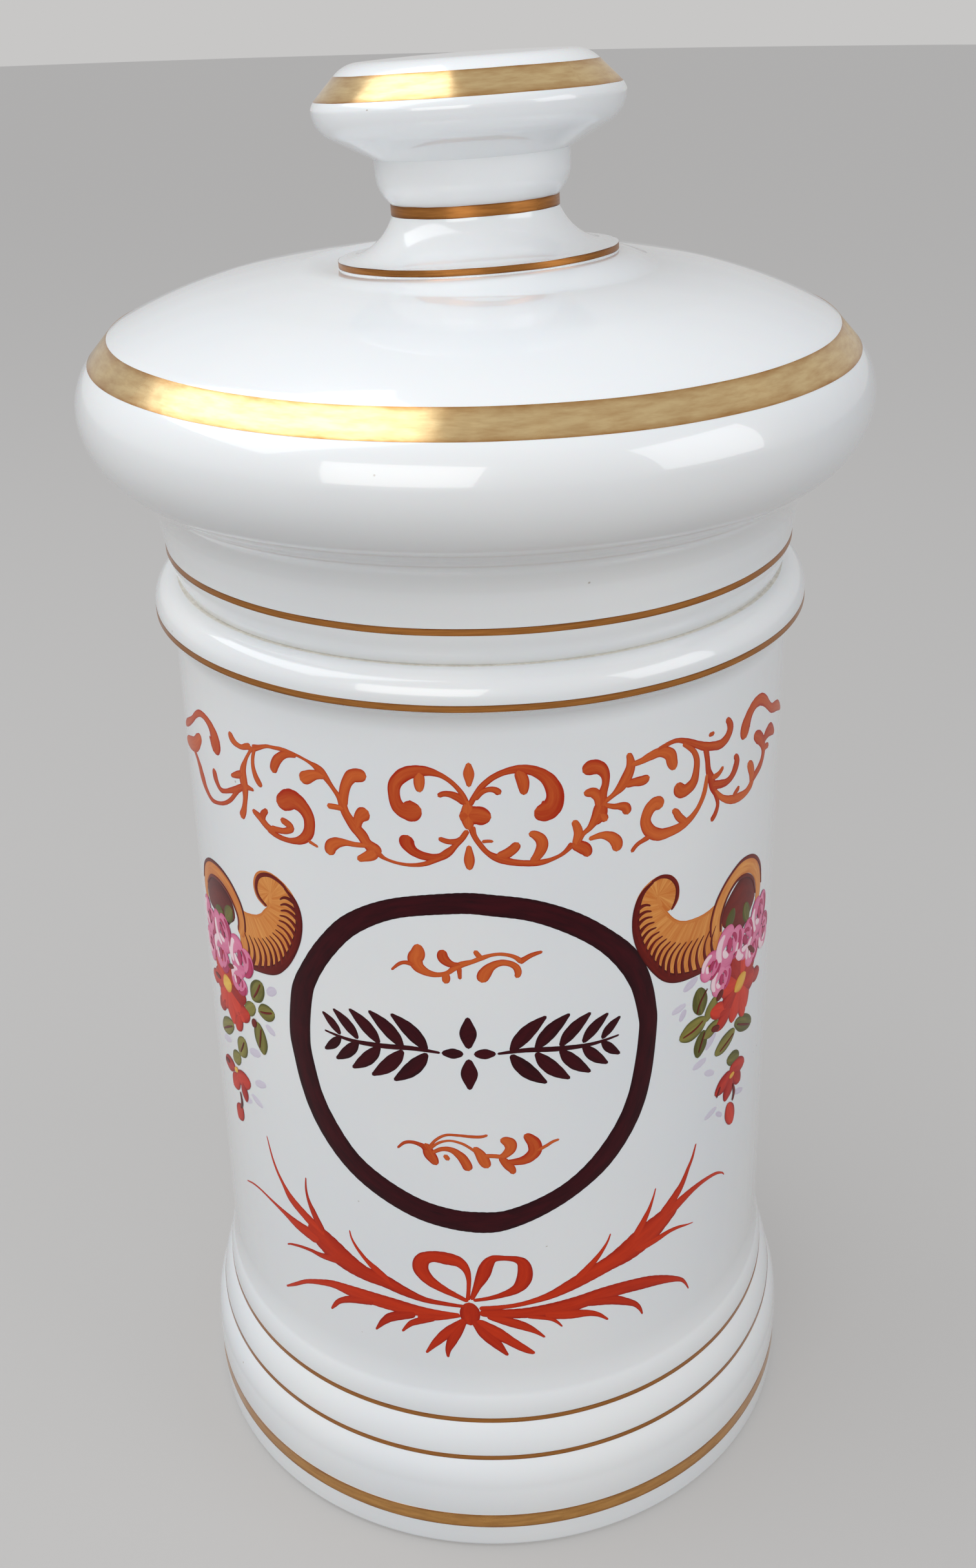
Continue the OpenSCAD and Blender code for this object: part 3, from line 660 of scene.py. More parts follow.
UPPER_SPRIG = [
    [(-17.2, 133.7, .4), (-15.8, 135.1, .7), (-14.6, 135.6, .8), (-13, 135.4, 1.2)],
    [(-12.2, 139.6, 1.2), (-12.3, 137.8, 2.8), (-12.8, 136.4, 2.8), (-12.2, 134.9, 2.2),
     (-10.5, 133.9, 1.4), (-8.8, 133.7, 1), (-7.2, 134.2, .9), (-6, 135.2, 1.2), (-4.6, 136, 1.3),
     (-3, 136.5, .9), (-1.4, 137.2, 1), (.4, 137.8, .7), (2.2, 137.9, .7), (4.2, 137.3, .8),
     (5.6, 136.1, 1.2)],
    [(-7.8, 138.8, 1.4), (-8, 137.4, 2.1), (-7.2, 136.3, 1.7), (-6, 135.8, 1.2), (-4.6, 135.9, 1)],
    [(-7.6, 134.2, 1.2), (-7.5, 132.9, 1.6), (-7.8, 132, 1)],
    [(-5.2, 135.4, 1), (-5.1, 132.9, .6)],
    [(-1.2, 137, .8), (-2, 138, 1.1), (-2.5, 138.8, .7)],
    [(-1.4, 132.3, 1.8), (-.9, 134, 2.5), (.3, 135.5, 1.7), (2, 136.2, 1.3), (3.6, 135.9, 1.2),
     (4.6, 135.1, 1.3), (4.9, 133.9, 1.3), (4.5, 133, .8)],
    [(5, 136, 1.3), (6.6, 137, 1), (7.8, 137.5, .9), (9.2, 137.8, .5)],
]
LOWER_SPRIG = [
    [(-17.8, 95.3, .4), (-16.4, 96.8, .7), (-14.8, 97.2, .8), (-13, 96.7, 1.1), (-12, 95.7, 1.9)],
    [(-12.4, 97.4, 1.1), (-11.8, 95.2, 2.4), (-11, 93.7, 2), (-10.5, 92.6, 1)],
    [(-11.8, 96.5, .6), (-10.4, 98.4, .6), (-8.6, 99.6, .6), (-6.4, 99.7, .6), (-4, 99.5, .7),
     (-2.2, 99.5, .7), (-1, 99.9, .5)],
    [(-11.6, 96.2, .6), (-10, 97.7, .6), (-8, 98.4, .5), (-6, 98, .6), (-4.6, 97.2, .6),
     (-3.2, 96, .6)],
    [(-11.2, 95.4, .8), (-9.4, 96.4, 1), (-7.6, 96.3, 1.3), (-6, 95, 1.8), (-5.1, 93.4, 2),
     (-4.6, 91.7, 1.7)],
    [(-9, 95.2, 1), (-8.2, 93.9, 1)],
    [(-3.6, 97.2, .9), (-2.5, 95.6, 2), (-1.8, 94, 2.3), (-1.1, 92.4, 1.5)],
    [(-1.8, 95.2, .9), (.2, 95.1, 1), (1.6, 94.8, .9)],
    [(1.2, 98.9, 1.2), (2.8, 98, 2.5), (3, 96.6, 2.1), (2, 95.3, 1.6), (.8, 94.7, .9)],
    [(1.1, 94.9, 1), (2.3, 93.2, 1.9), (3.2, 91.9, 1.6), (3.5, 90.8, .8)],
    [(1.8, 93.7, 1), (4, 93.6, 1.6), (6, 94.1, 2.2), (7.4, 95.6, 2.6), (7.3, 97.4, 2.6),
     (6.3, 98.9, 1.9), (5.5, 99.6, 1)],
    [(7.8, 95.7, .9), (9.6, 96.6, .7), (10.8, 97.3, .7), (12, 97.6, .4)],
]
brushed("roundel_sprigs", UPPER_SPRIG + LOWER_SPRIG, orange_red)

# The garland's right half, with the way from its middle in place of the way round the wall.
GARLAND_MIDDLE, GARLAND_Z = -4.0, 117.5
GARLAND_STEM = [
    (5, 117.5, .5), (10, 117.9, 1), (16, 117.4, 1.1), (22, 117.1, .8), (27.4, 117.6, .4),
]
GARLAND_PETALS = [
    [(0, 118.6, .8), (0, 121.8, 3.2), (0, 125.2, .5)],
    [(0, 116.4, .8), (0, 113.2, 3.2), (0, 109.8, .5)],
    [(.9, 117.5, .8), (2.8, 117.5, 2.4), (4.8, 117.5, .6)],
]
LEAF_PLACES = (
    (7.4, 7.4, 2.9), (11.8, 7.2, 2.8), (16.2, 6.6, 2.6), (20.4, 5.6, 2.3), (24, 4.2, 1.9),
)


def garland_leaf(start, length, width, up):
    """A leaf that grows out from the stem, swells and ends in a point."""
    return [(start + length * share, GARLAND_Z + up * length * rise, width * swell)
            for share, rise, swell in
            ((0, .04, .25), (.18, .3, .9), (.42, .58, 1), (.66, .8, .65), (.86, .96, .15))]


half = GARLAND_PETALS + [GARLAND_STEM]
for up in (-1, 1):
    half += [garland_leaf(start, length, width, up) for start, length, width in LEAF_PLACES]
garland = [
    [(GARLAND_MIDDLE + way * s, z, width) for s, z, width in stroke]
    for way in (-1, 1) for stroke in half
]
brushed("roundel_garland", garland, maroon)


# ---- Branches and bow ---------------------------------------------------------------------------
# Two crossed branches of long pointed leaves, tied with a ribbon bow, in deep iron red. Each leaf
# is one press and flick of the brush.

deep_red = enamel("deep_red_enamel", paint(202, 56, 22), paint(150, 24, 9))

BRANCHES = [
    # Left, upper branch.
    [(-6.3, 59.1, .8), (-10, 59.4, 1.1), (-14, 59.8, 1.5), (-18, 61, 2.5), (-22, 62.4, 3.4),
     (-26, 62.9, 3.8), (-30, 64.3, 5.2), (-34, 66.4, 6), (-39, 69.4, 4.5)],
    [(-35, 68.4, 3), (-40, 71, 2.4), (-43.5, 73, 2.2), (-45.5, 75.2, 1.2), (-47.3, 77.6, .9),
     (-48.5, 80, .7), (-49.3, 82.5, .5), (-49.9, 84.8, .3)],
    [(-35.5, 69, 2.2), (-37.5, 73, 1.6), (-38.6, 75.5, .9), (-39, 78, .6), (-38.8, 80.8, .3)],
    [(-36.5, 66.6, 3.5), (-42, 67.2, 2.6), (-46, 68, 1.4), (-50, 68.5, .8), (-54, 68.6, .6),
     (-57.5, 67.9, .5), (-60.8, 66.4, .3)],
    [(-31.5, 63.9, 2.4), (-36, 62.8, 1.4), (-39, 62.6, .9), (-42, 61.9, .7), (-44.8, 60.8, .5),
     (-46, 60, .3)],
    [(-20, 61.4, 2.2), (-23.4, 64.5, 1.8), (-25.5, 66.3, 1.1), (-27.3, 68.4, .8),
     (-28.5, 70.5, .5), (-28.9, 72.5, .3)],
    # Left, lower branch.
    [(-7.2, 56.9, .8), (-11, 56.9, 1.4), (-15, 56.7, 2.6), (-20, 56.9, 3.4), (-25, 57, 3.4),
     (-29.5, 56.9, 3), (-33.5, 56.7, 2), (-37, 55.5, 1.4), (-41, 53.4, 1), (-44.8, 50.3, .8),
     (-47.6, 48, .4)],
    [(-24.5, 56.4, 2.2), (-29.5, 54.8, 1.8), (-32.4, 53, 1.2), (-33.8, 51.2, .9),
     (-34.7, 49.8, .3)],
    [(-16, 56, 2.4), (-20.5, 53.8, 2.2), (-22.3, 52.2, 1.6), (-23.6, 50.4, .9), (-24.4, 49.1, .3)],
    [(-12, 55.6, 1.6), (-15.8, 53.8, 1.6), (-17.3, 52.6, 1.1), (-18.8, 50.5, .4)],
    [(-7, 56.7, .7), (-11, 55.9, 1.6), (-15.5, 55, 2)],
    # Right, upper branch.
    [(-3.5, 58.7, 1.2), (2.5, 59.2, 1.1), (6.4, 59.9, 1.3), (10.2, 60.9, 2), (14.1, 62.5, 3),
     (18, 64.1, 3.6), (22, 65.5, 4), (26, 67, 5.6), (30, 69, 6.4), (33.5, 70.8, 5),
     (37.6, 73.1, 3.4)],
    [(33.6, 71.6, 3), (37.3, 75.4, 2.2), (38.8, 77.2, 1.6), (40.2, 79.8, 1.1), (41.4, 82, .8),
     (42.3, 84.8, .4)],
    [(33.4, 71, 3.2), (38.5, 73, 2.4), (42, 73.9, 1.6), (45.5, 74, 1.1), (49, 73.3, .8),
     (51.5, 71.9, .4), (52.4, 70.8, .3)],
    [(27.5, 69.4, 2.4), (29.7, 73.4, 1.4), (30.7, 75.4, .9), (31.5, 77.6, .5), (32, 79.5, .3)],
    [(27.5, 66.4, 2.4), (32.5, 66.7, 1.6), (35.5, 67, 1.1), (38, 66.7, .8), (40.5, 65.9, .4),
     (42.3, 65.4, .2)],
    [(15, 63, 2.4), (18.7, 67, 1.4), (20.3, 69, .9), (21.5, 71, .5), (22.1, 72.7, .3)],
    # Right, lower branch.
    [(-3.5, 57.6, 1.6), (0, 57.4, 2.2), (5, 57.2, 2.6), (10, 57.3, 3.2), (15, 57.6, 3.6),
     (20, 58.2, 3.4), (25, 58, 3.2), (30, 57, 3), (34, 55.6, 2.2), (37.3, 53.9, 1.4),
     (39.4, 52.4, .9), (40.6, 50.8, .6), (41.6, 48.7, .3)],
    [(17, 57.6, 2.6), (22, 56.2, 2.4), (25.3, 54.4, 1.8), (27.7, 52.6, 1.2), (28.9, 50.8, .8),
     (29.5, 49.1, .3)],
    [(9, 56.4, 2.6), (14, 55.2, 2.4), (17.5, 54.4, 1.6), (19.8, 53.2, 1), (21.8, 51.2, .4)],
    [(5.6, 56.3, 1), (9.6, 55.1, .9), (11.2, 54, .7), (12.4, 52.4, .3)],
    [(-2, 57, 1.6), (2.2, 55.2, 2.2), (5, 53.8, 2), (7.2, 52.2, 1.1), (9, 50.4, .4)],
]
BOW = [
    # The knot, the two loops and the four ribbon tails.
    [(-5.4, 60.2, 2.2), (-5.3, 57.8, 4), (-5.2, 56, 3.6), (-5.2, 54.4, 2.4)],
    [(-5.5, 60.4, .9), (-7.6, 61.6, 1.2), (-10.2, 63, 1.8), (-12.8, 64.8, 2.6), (-14.4, 67.2, 3.2),
     (-14, 69.7, 3), (-12, 70.8, 2.7), (-9.5, 70.7, 3.1), (-7.2, 70.1, 2.6), (-5.8, 68.4, 1.6),
     (-5.3, 66, 1), (-5.4, 63.2, .8), (-5.6, 60.6, .9)],
    [(-4.9, 60.8, .8), (-3.8, 64, 1.6), (-2.6, 67, 2.7), (-1.8, 69.5, 2.6), (-.6, 71, 1.8),
     (1.5, 71.1, 1.2), (3.8, 70.6, 1.6), (5, 69.4, 2.4), (5.3, 67, 3), (4.8, 64.8, 3),
     (3.4, 63.2, 2.2), (1, 62.1, 1.4), (-1.6, 61.3, 1), (-4.6, 60.7, .8)],
    [(-6.4, 55.8, 1), (-9.2, 52.8, 2.2), (-11.3, 50.2, 2), (-12.9, 48, 1.2), (-14.1, 46.1, .4)],
    [(-6.2, 55.6, 1), (-8, 52.4, 2.4), (-9, 49.8, 2), (-9.7, 47.6, 1.2), (-9.8, 45.7, .4)],
    [(-4.6, 55.8, 1.4), (-2.6, 52.6, 2.6), (-.8, 50.3, 2.4), (.5, 48.5, 1.6), (1.8, 46.6, .5)],
    [(-4, 55.6, 1.6), (-.6, 52.8, 2.8), (2.2, 50.4, 2.2), (4.4, 48.5, 1.8), (6.2, 47.1, 1.2),
     (7, 46.6, .4)],
]
brushed("branches_and_bow", BRANCHES + BOW, deep_red)


# ---- Horns of plenty ----------------------------------------------------------------------------
# A curled horn each side of the roundel, laid in ochre, then ribbed, shaded and outlined in brown
# purple over it. The mouths are dark, with a glimpse of leaves inside.

ochre = enamel("ochre_enamel", paint(232, 166, 92), paint(200, 112, 48), Streaks=0.9)
brown_line = enamel("brown_line_enamel", paint(124, 32, 20), paint(74, 10, 12), Streaks=0.7)

# Pairs of points across each horn, on its inner and its outer edge, from the curl's tip to the
# mouth.
LEFT_HORN = [
    ((-42.4, 142.2), (-43.4, 139.2)), ((-42.4, 142.4), (-45.8, 140.4)),
    ((-42.3, 142.5), (-46.3, 142.8)), ((-42.2, 142.6), (-44.8, 145.2)),
    ((-42, 142.6), (-41.6, 146.1)), ((-41.8, 142), (-38.2, 144.9)), ((-42, 140.6), (-35.9, 142.2)),
    ((-42.8, 139), (-35.3, 138.6)), ((-43.9, 137.8), (-36.2, 134.8)), ((-45, 136.6), (-38, 131)),
    ((-46.6, 135.6), (-40.6, 127.9)), ((-48.4, 135), (-43.8, 125.7)),
    ((-50.4, 134.6), (-47.6, 124.2)), ((-52.8, 134.6), (-51.8, 123.8)),
]
RIGHT_HORN = [
    ((31.2, 143.6), (33.9, 140.1)), ((31.2, 143.8), (35.2, 142)), ((31.2, 144), (34.9, 144.8)),
    ((31, 144), (33, 146.8)), ((30.8, 144), (30.2, 147)), ((30.8, 143.2), (27.6, 145.2)),
    ((31.4, 141.6), (26.4, 142)), ((32.6, 139.8), (26.3, 138.4)), ((33.8, 138.2), (27.3, 134.8)),
    ((35.4, 136.8), (29, 131.4)), ((37.4, 135.9), (31.2, 128.4)), ((39.8, 135.5), (34, 126)),
    ((42.4, 135.4), (37.6, 124.8)), ((45, 135.8), (41.8, 124)), ((47.6, 136.8), (46.6, 124.6)),
]
CURL_PAIRS = 5
CURL_EYE = 1.4


def across_horn(pairs, between):
    """Pairs of points across a horn, with more of them put in between."""
    closer = []
    for (a, b), (c, d) in zip(pairs, pairs[1:]):
        closer += [(Vector(a).lerp(Vector(c), i / between), Vector(b).lerp(Vector(d), i / between))
                   for i in range(between)]
    return closer + [(Vector(pairs[-1][0]), Vector(pairs[-1][1]))]


def horn_body(pairs):
    """Strokes side by side from the inner edge to the outer one, two that close the curl's eye, and
    one along each edge."""
    strokes = [[(p.x, p.y, 1.0), ((p.x + q.x) / 2, (p.y + q.y) / 2, 1.7), (q.x, q.y, 1.9)]
               for p, q in across_horn(pairs, 4)]
    strokes.append([(q[0], q[1], 1.1) for p, q in pairs])
    (s, z), low = pairs[2][0], pairs[CURL_PAIRS + 1][0]
    strokes.append([(s - CURL_EYE, z, CURL_EYE), (s, z, 2 * CURL_EYE), (s + CURL_EYE, z, CURL_EYE)])
    strokes.append([(s, z + 1, 2.4), (s, (z + low[1]) / 2, 2.6), (low[0], low[1] - 0.6, 1.8)])
    strokes.append([(p[0], p[1], 1.1) for p, q in pairs[CURL_PAIRS + 1:]])
    return strokes


def horn_ribs(pairs, curve):
    """Short dark strokes from the middle of the horn to its outer edge, bowed towards the mouth."""
    strokes = []
    for p, q in across_horn(pairs[CURL_PAIRS + 1:], 2):
        aside = Vector(((q - p).y, -(q - p).x)) * curve
        strokes.append([tuple(p.lerp(q, share) + aside * bow) + (width,) for share, bow, width in
                        ((.4, .5, .25), (.6, .85, .5), (.8, .7, .75), (1, .1, .9))])
    return strokes


LEFT_RIM = [
    (-53, 129, 2.6), (-51.8, 132, 2.8), (-52.8, 135.2, 2.8), (-55.6, 137.8, 2.6),
    (-59.6, 138.9, 2.6), (-64, 138, 2.8), (-67.6, 135.4, 2.8), (-69.6, 131.6, 2.6),
    (-69.4, 128.4, 2.2),
]
RIGHT_RIM = [
    (46, 128.6, 2.4), (45.8, 132, 2.8), (47, 135.8, 3), (49.8, 138.8, 3), (53.8, 140, 3),
    (58, 138.8, 3), (61.2, 135.6, 2.8), (62.4, 131.6, 2.6), (61.6, 128, 2.2),
]
brushed("horn_bodies", horn_body(LEFT_HORN) + horn_body(RIGHT_HORN), ochre,
        height=0.03)

MOUTH_HOLLOWS = [
    [(-67.6, 129.4, 3), (-65, 131.4, 7), (-61, 132.4, 9.6), (-57, 132.6, 7.6), (-54.4, 132, 4)],
    [(47.6, 131.6, 4), (50, 132, 8.6), (54, 132, 12), (58, 131.6, 9), (60.6, 131, 4)],
]
brushed("horn_mouths", MOUTH_HOLLOWS, brown_line, layer=0.02, height=0.03)
brushed("horn_rims", [LEFT_RIM, RIGHT_RIM], ochre, layer=0.035)

HORN_LINES = [
    # Left: the dark outer edge, the curl's outline and the lines round the mouth.
    [(-38.4, 144.8, .5), (-36.2, 142.8, 1.1), (-35.4, 139.8, 1.5), (-35.9, 136, 1.7),
     (-37.6, 132, 1.8), (-40.2, 128.3, 1.9), (-43.5, 125.7, 1.9), (-49.4, 123.7, 1)],
    [(-43.3, 139.2, .5), (-45.4, 140.4, .8), (-46, 142.4, .8), (-44.8, 144.8, .8), (-42, 146, .8),
     (-39, 145.4, .7), (-37, 143.6, .6)],
    [(-51, 130.4, .5), (-50.8, 133.4, .6), (-52, 136.6, .6), (-55.2, 139.4, .6),
     (-59.6, 140.4, .7), (-64.8, 139.4, .7), (-69, 136.4, .6), (-71, 132.6, .5)],
    [(-53.4, 129.8, .5), (-53.2, 133, .7), (-55.8, 136, .7), (-59.8, 137.2, .7),
     (-64.4, 136.2, .7), (-67.8, 133, .6)],
    # Right: the same.
    [(30, 147, .5), (27.8, 145.4, .9), (26.6, 142.6, 1.3), (26.4, 139, 1.5), (27.2, 135.4, 1.7),
     (28.9, 131.9, 1.8), (31, 128.8, 1.9), (33.6, 126.2, 1.9), (37.2, 124.8, 1.8),
     (43.6, 123.9, 1)],
    [(29.4, 146.9, .5), (31.6, 147.4, .7), (33.8, 146.4, .8), (35.2, 144.2, .8), (35.1, 141.8, .8),
     (34, 139.9, .4)],
    [(44.4, 130, .5), (44.4, 133.4, .6), (46, 137.2, .6), (49.4, 140.2, .6), (54, 141.6, .7),
     (59, 140.2, .8), (62.8, 136.6, .7), (64, 132, .5)],
    [(47.4, 129.8, .5), (47.4, 133, .7), (49.2, 136.4, .7), (52.4, 138.2, .7), (56.2, 137.6, .7),
     (59.4, 135, .7), (60.8, 131.4, .5)],
]
ribs = horn_ribs(LEFT_HORN, -0.22) + horn_ribs(RIGHT_HORN, 0.22)
brushed("horn_lines", HORN_LINES + ribs, brown_line, layer=0.05)


# ---- Flowers ------------------------------------------------------------------------------------
# Roses, a red flower with a yellow eye and a hanging sprig spill from each horn, in soft enamels.
# They are dabbed on in small strokes: shadows first, then leaves, petals, and dark touches last.

olive = enamel("olive_enamel", paint(152, 142, 70), paint(84, 82, 34), Streaks=0.7,
               Between_strokes=0.5)
rose_mid = enamel("rose_enamel", paint(230, 140, 172), paint(200, 82, 130))
rose_pale = enamel("pale_rose_enamel", paint(246, 222, 226), paint(234, 186, 200))
rose_deep = enamel("deep_rose_enamel", paint(196, 64, 110), paint(140, 22, 62))
petal_red = enamel("petal_red_enamel", paint(220, 64, 40), paint(150, 14, 14), Between_strokes=0.5)
yellow = enamel("yellow_enamel", paint(236, 190, 84), paint(206, 132, 40))
lilac = enamel("lilac_enamel", paint(216, 210, 222), paint(196, 184, 204), Pooling=0.2)


def dab(s, z, length, width, degrees):
    """One press of the brush: a pointed drop that leans by an angle from the way round the wall."""
    turn = math.radians(degrees)
    way = Vector((math.cos(turn), math.sin(turn))) * length / 2
    return [(s - way.x, z - way.y, width * .35), (s - way.x * .3, z - way.y * .3, width),
            (s + way.x * .45, z + way.y * .45, width * .9), (s + way.x, z + way.y, width * .4)]


def petal(s, z, radius, start, sweep, width):
    """A petal: a stroke that follows a circle, thick in its middle."""
    stroke = []
    for share, weight in ((0, .35), (.25, .9), (.5, 1), (.75, .9), (1, .35)):
        turn = math.radians(start + sweep * share)
        stroke.append((s + radius * math.cos(turn), z + radius * math.sin(turn), width * weight))
    return stroke


def rose(s, z, radius, turn):
    """A rose: a round of middle tone, pale petals on its lit side, deep ones and a dark eye."""
    middle = [petal(s, z, radius * .55, turn + a, 125, radius * .85) for a in (0, 120, 240)]
    lit = [petal(s, z, radius * .72, turn + 60, 100, radius * .4),
           petal(s, z, radius * .4, turn + 120, 80, radius * .3)]
    deep = [petal(s, z, radius * .78, turn + 230, 95, radius * .3),
            petal(s, z, radius * .45, turn - 70, 80, radius * .22),
            dab(s, z, radius * .7, radius * .4, turn + 30)]
    return middle, lit, deep


def open_flower(s, z, radius, petals, turn, width):
    """Petals pressed outwards from the middle."""
    strokes = []
    for i in range(petals):
        degrees = turn + 360 * i / petals
        faces = math.radians(degrees)
        way = Vector((math.cos(faces), math.sin(faces))) * radius * .58
        strokes.append(dab(s + way.x, z + way.y, radius * .95, width, degrees + 180))
    return strokes


LILAC_SHADOWS = [
    dab(39.3, 122.3, 4, 2, 20), dab(36.5, 118.2, 3.6, 1.6, 10), dab(37.5, 116.4, 2.6, 1.6, 60),
    dab(42.5, 103.2, 4, 1.8, 5), dab(45.6, 106.8, 4, 2, 40), dab(45.6, 99.5, 3.6, 1.5, -30),
    dab(46.5, 89.5, 4, 1.6, 10), dab(57, 88.4, 5, 1.4, -25), dab(49.4, 87.6, 3, 1.2, -40),
    dab(-44.2, 120.8, 3.6, 2, 35), dab(-45.5, 111.7, 3, 1.8, -20), dab(-51.5, 103.5, 4.4, 2, 20),
    dab(-50.5, 96.7, 4.4, 1.8, 25), dab(-52.4, 91.7, 4.2, 1.8, -10), dab(-56, 89.6, 3.6, 1.4, 30),
    dab(-64.4, 99.3, 5.4, 1.6, 25),
]
LEAVES = [
    dab(42, 117.4, 6.4, 4, 100), dab(40.4, 112, 7.4, 4.4, 10), dab(42.6, 107.7, 5.8, 3.6, 75),
    dab(50.6, 103.8, 7.4, 3.8, 15), dab(58, 104, 9.4, 3.6, -30), dab(45.4, 114.2, 5.6, 3, 50),
    dab(45.6, 109.4, 5, 3, 20), dab(54, 98.2, 5.4, 3.2, -20), dab(50.6, 131, 4.4, 3, 60),
    dab(56.8, 129.4, 5, 3, 110), dab(-48.7, 118.8, 6.6, 4, 55), dab(-46.3, 115.2, 5.4, 3.6, 20),
    dab(-48.9, 108.2, 7, 4, 100), dab(-56.5, 102, 6, 4, 60), dab(-63.4, 103, 8.6, 3.6, 35),
    dab(-51.8, 113.4, 5, 3, 40), dab(-59.8, 97.6, 5, 3.2, 40), dab(-57, 131.6, 5, 3.2, 50),
    dab(-61.8, 129.6, 5, 3, 30),
]
LEAF_VEINS = [
    [(44, 119.4, .3), (42, 117.2, .5), (41.2, 115, .3)],
    [(37.6, 111.4, .3), (40.6, 111.8, .5), (43, 112.8, .3)],
    [(42, 106, .3), (42.8, 108, .5), (43.6, 110, .3)],
    [(48.6, 102.7, .3), (51, 103.4, .5), (53.6, 104.2, .3)],
    [(55, 105.4, .3), (58, 103.6, .5), (61, 101.8, .3)],
    [(-50, 116.8, .3), (-48.6, 118.8, .5), (-47.4, 121, .3)],
    [(-48.2, 114.6, .3), (-46.2, 115.2, .5), (-44.4, 116, .3)],
    [(-48.4, 110.6, .3), (-48.9, 108.2, .5), (-49.4, 105.8, .3)],
    [(-57.4, 100.4, .3), (-56.4, 102, .5), (-55.4, 103.8, .3)],
    [(-66, 100.8, .3), (-63.2, 102.8, .5), (-60.4, 104.6, .3)],
]
RED_PETALS = open_flower(55.4, 114.6, 7.6, 8, 25, 5)
RED_PETALS += open_flower(-60.8, 113.6, 7.6, 8, 10, 4.8)
RED_PETALS += [
    dab(47.6, 112.6, 5.4, 3.6, 160), dab(49.4, 109.6, 5.6, 3.4, 205), dab(63.4, 112, 5, 3.2, -15),
    dab(56.8, 108.4, 5.4, 3.2, -70), dab(-54.6, 110.8, 5.6, 3.8, 25), dab(-57, 107.4, 5, 3.2, 60),
    dab(-65, 107.4, 5.4, 3.2, 40), dab(-68.8, 111.4, 4.6, 3, 20), dab(50.6, 94.2, 6.4, 3.8, 20),
    dab(56, 95.2, 6.8, 3.6, -20), dab(52.6, 91.8, 5.4, 3.6, 60), dab(56, 92.4, 4.6, 3, -50),
    dab(53.6, 85.2, 6.4, 3.6, -70), dab(-57.6, 93.6, 6.8, 4, 20), dab(-64.4, 93.4, 6.4, 3.4, 20),
    dab(-61.4, 91, 5.4, 3.6, 50), dab(-57.4, 90.8, 4.4, 3, 100), dab(-60.8, 83.8, 5.2, 3.6, 60),
]
YELLOW_EYES = [
    dab(55.4, 114.8, 5, 3.6, 20), dab(-60.9, 114.2, 5, 3.6, 30), dab(53.6, 94.4, 2, 1.4, 0),
    dab(-60.6, 94.2, 2, 1.4, 30),
]

ROSES = [
    (44.9, 123.6, 3.4, 30), (50.6, 125.4, 5, 60), (56.8, 123.4, 4.6, 100), (63.6, 125.8, 4.8, 80),
    (60.6, 119.4, 4, 40), (48.2, 119.2, 3.6, 60), (67.4, 119.6, 4, 120), (-53.8, 123.8, 4.8, 60),
    (-61, 126, 4.8, 100), (-68.6, 125.2, 4.4, 60), (-62.8, 120, 4.4, 40), (-55.2, 118, 3.4, 30),
    (-69.4, 118.6, 3.8, 90),
]
rounds, lights, deeps = [], [], []
for place in ROSES:
    for bunch, part in zip((rounds, lights, deeps), rose(*place)):
        bunch += part
DARK_TOUCHES = [
    dab(47.9, 115.9, 2.6, 2, 40), dab(46.9, 109, 2.8, 1.6, -20), dab(60, 119.6, 5, 1.3, -40),
    dab(-58, 119.6, 3, 1.2, 20), dab(-66.6, 112.8, 4, 1.1, 15), dab(-50.6, 110.8, 2.4, 1.8, 60),
    [(54.2, 92, .5), (54.9, 89.6, .9), (54.3, 87.8, .6)],
    [(-59.6, 89.6, .5), (-59.3, 87, .9), (-60.2, 85.2, .6)], dab(-65.6, 93.4, 3, 1.1, 20),
    dab(48.8, 93.2, 2.4, .8, 60),
]
brushed("flower_shadows", LILAC_SHADOWS, lilac, height=0.02)
brushed("flower_leaves", LEAVES, olive, layer=0.05)
brushed("flower_red_petals", RED_PETALS, petal_red, layer=0.07)
brushed("rose_rounds", rounds, rose_mid, layer=0.09)
brushed("rose_lit_petals", lights, rose_pale, layer=0.12, height=0.03)
brushed("rose_deep_petals", deeps, rose_deep, layer=0.12, height=0.03)
brushed("flower_eyes", YELLOW_EYES, yellow, layer=0.12)
brushed("flower_dark_touches", LEAF_VEINS + DARK_TOUCHES, brown_line,
        layer=0.13, height=0.03)


# ---- The cover ----------------------------------------------------------------------------------
# A domed cover with a flared skirt and a flange that drops into the jar's mouth, made in one piece
# of the same porcelain. While still damp its crown is blended up or down to the leaning knob. The
# flange and the edge that rests on the jar are unglazed.

COVER_T = 4.5
SKIRT_LINE = ((56.9, 195.6), (56.9, 196.8))
COVER_BAND = ((66.6, 228.5), (62.9, 232.6))
FLANGE_R = MOUTH_R - 0.8
FLANGE_ROUND = 1.2
FLANGE_IN = (FLANGE_R - 3.8, JAR_H - 1)
FLANGE_Z = JAR_H - 9
SKIRT_ROUND = 0.4
VENT_R = 2.2
KNOB_FOOT_R = 24.0
SEAT_SWEEP = 7.0
CROWN_LOW = 0.24
NEAR_KNOB, NEAR_STEP = (20, 32), 0.4
KNOB_STANDS = (0.0011, 0, 0.2425)
KNOB_LEAN, LEANS_TO = math.radians(3.6), math.radians(136)
KNOB_PLACE = (Matrix.Translation(KNOB_STANDS) @ Matrix.Rotation(LEANS_TO, 4, "Z")
              @ Matrix.Rotation(KNOB_LEAN, 4, "Y"))

# Corners of the skin from the crease up: the place, the way the outside faces there, and the sag of
# the stretch up to the next corner.
COVER_SKIN = [
    ((57.8, 202.5), -14, -0.75), ((63.4, 210), -56, 1.6), ((69.5, 221), 0, 0.75),
    (COVER_BAND[0], 42, 0), (COVER_BAND[1], 52, 0.6), ((45, 239.2), 77, 0), ((0, 243.8), 90, 0),
]


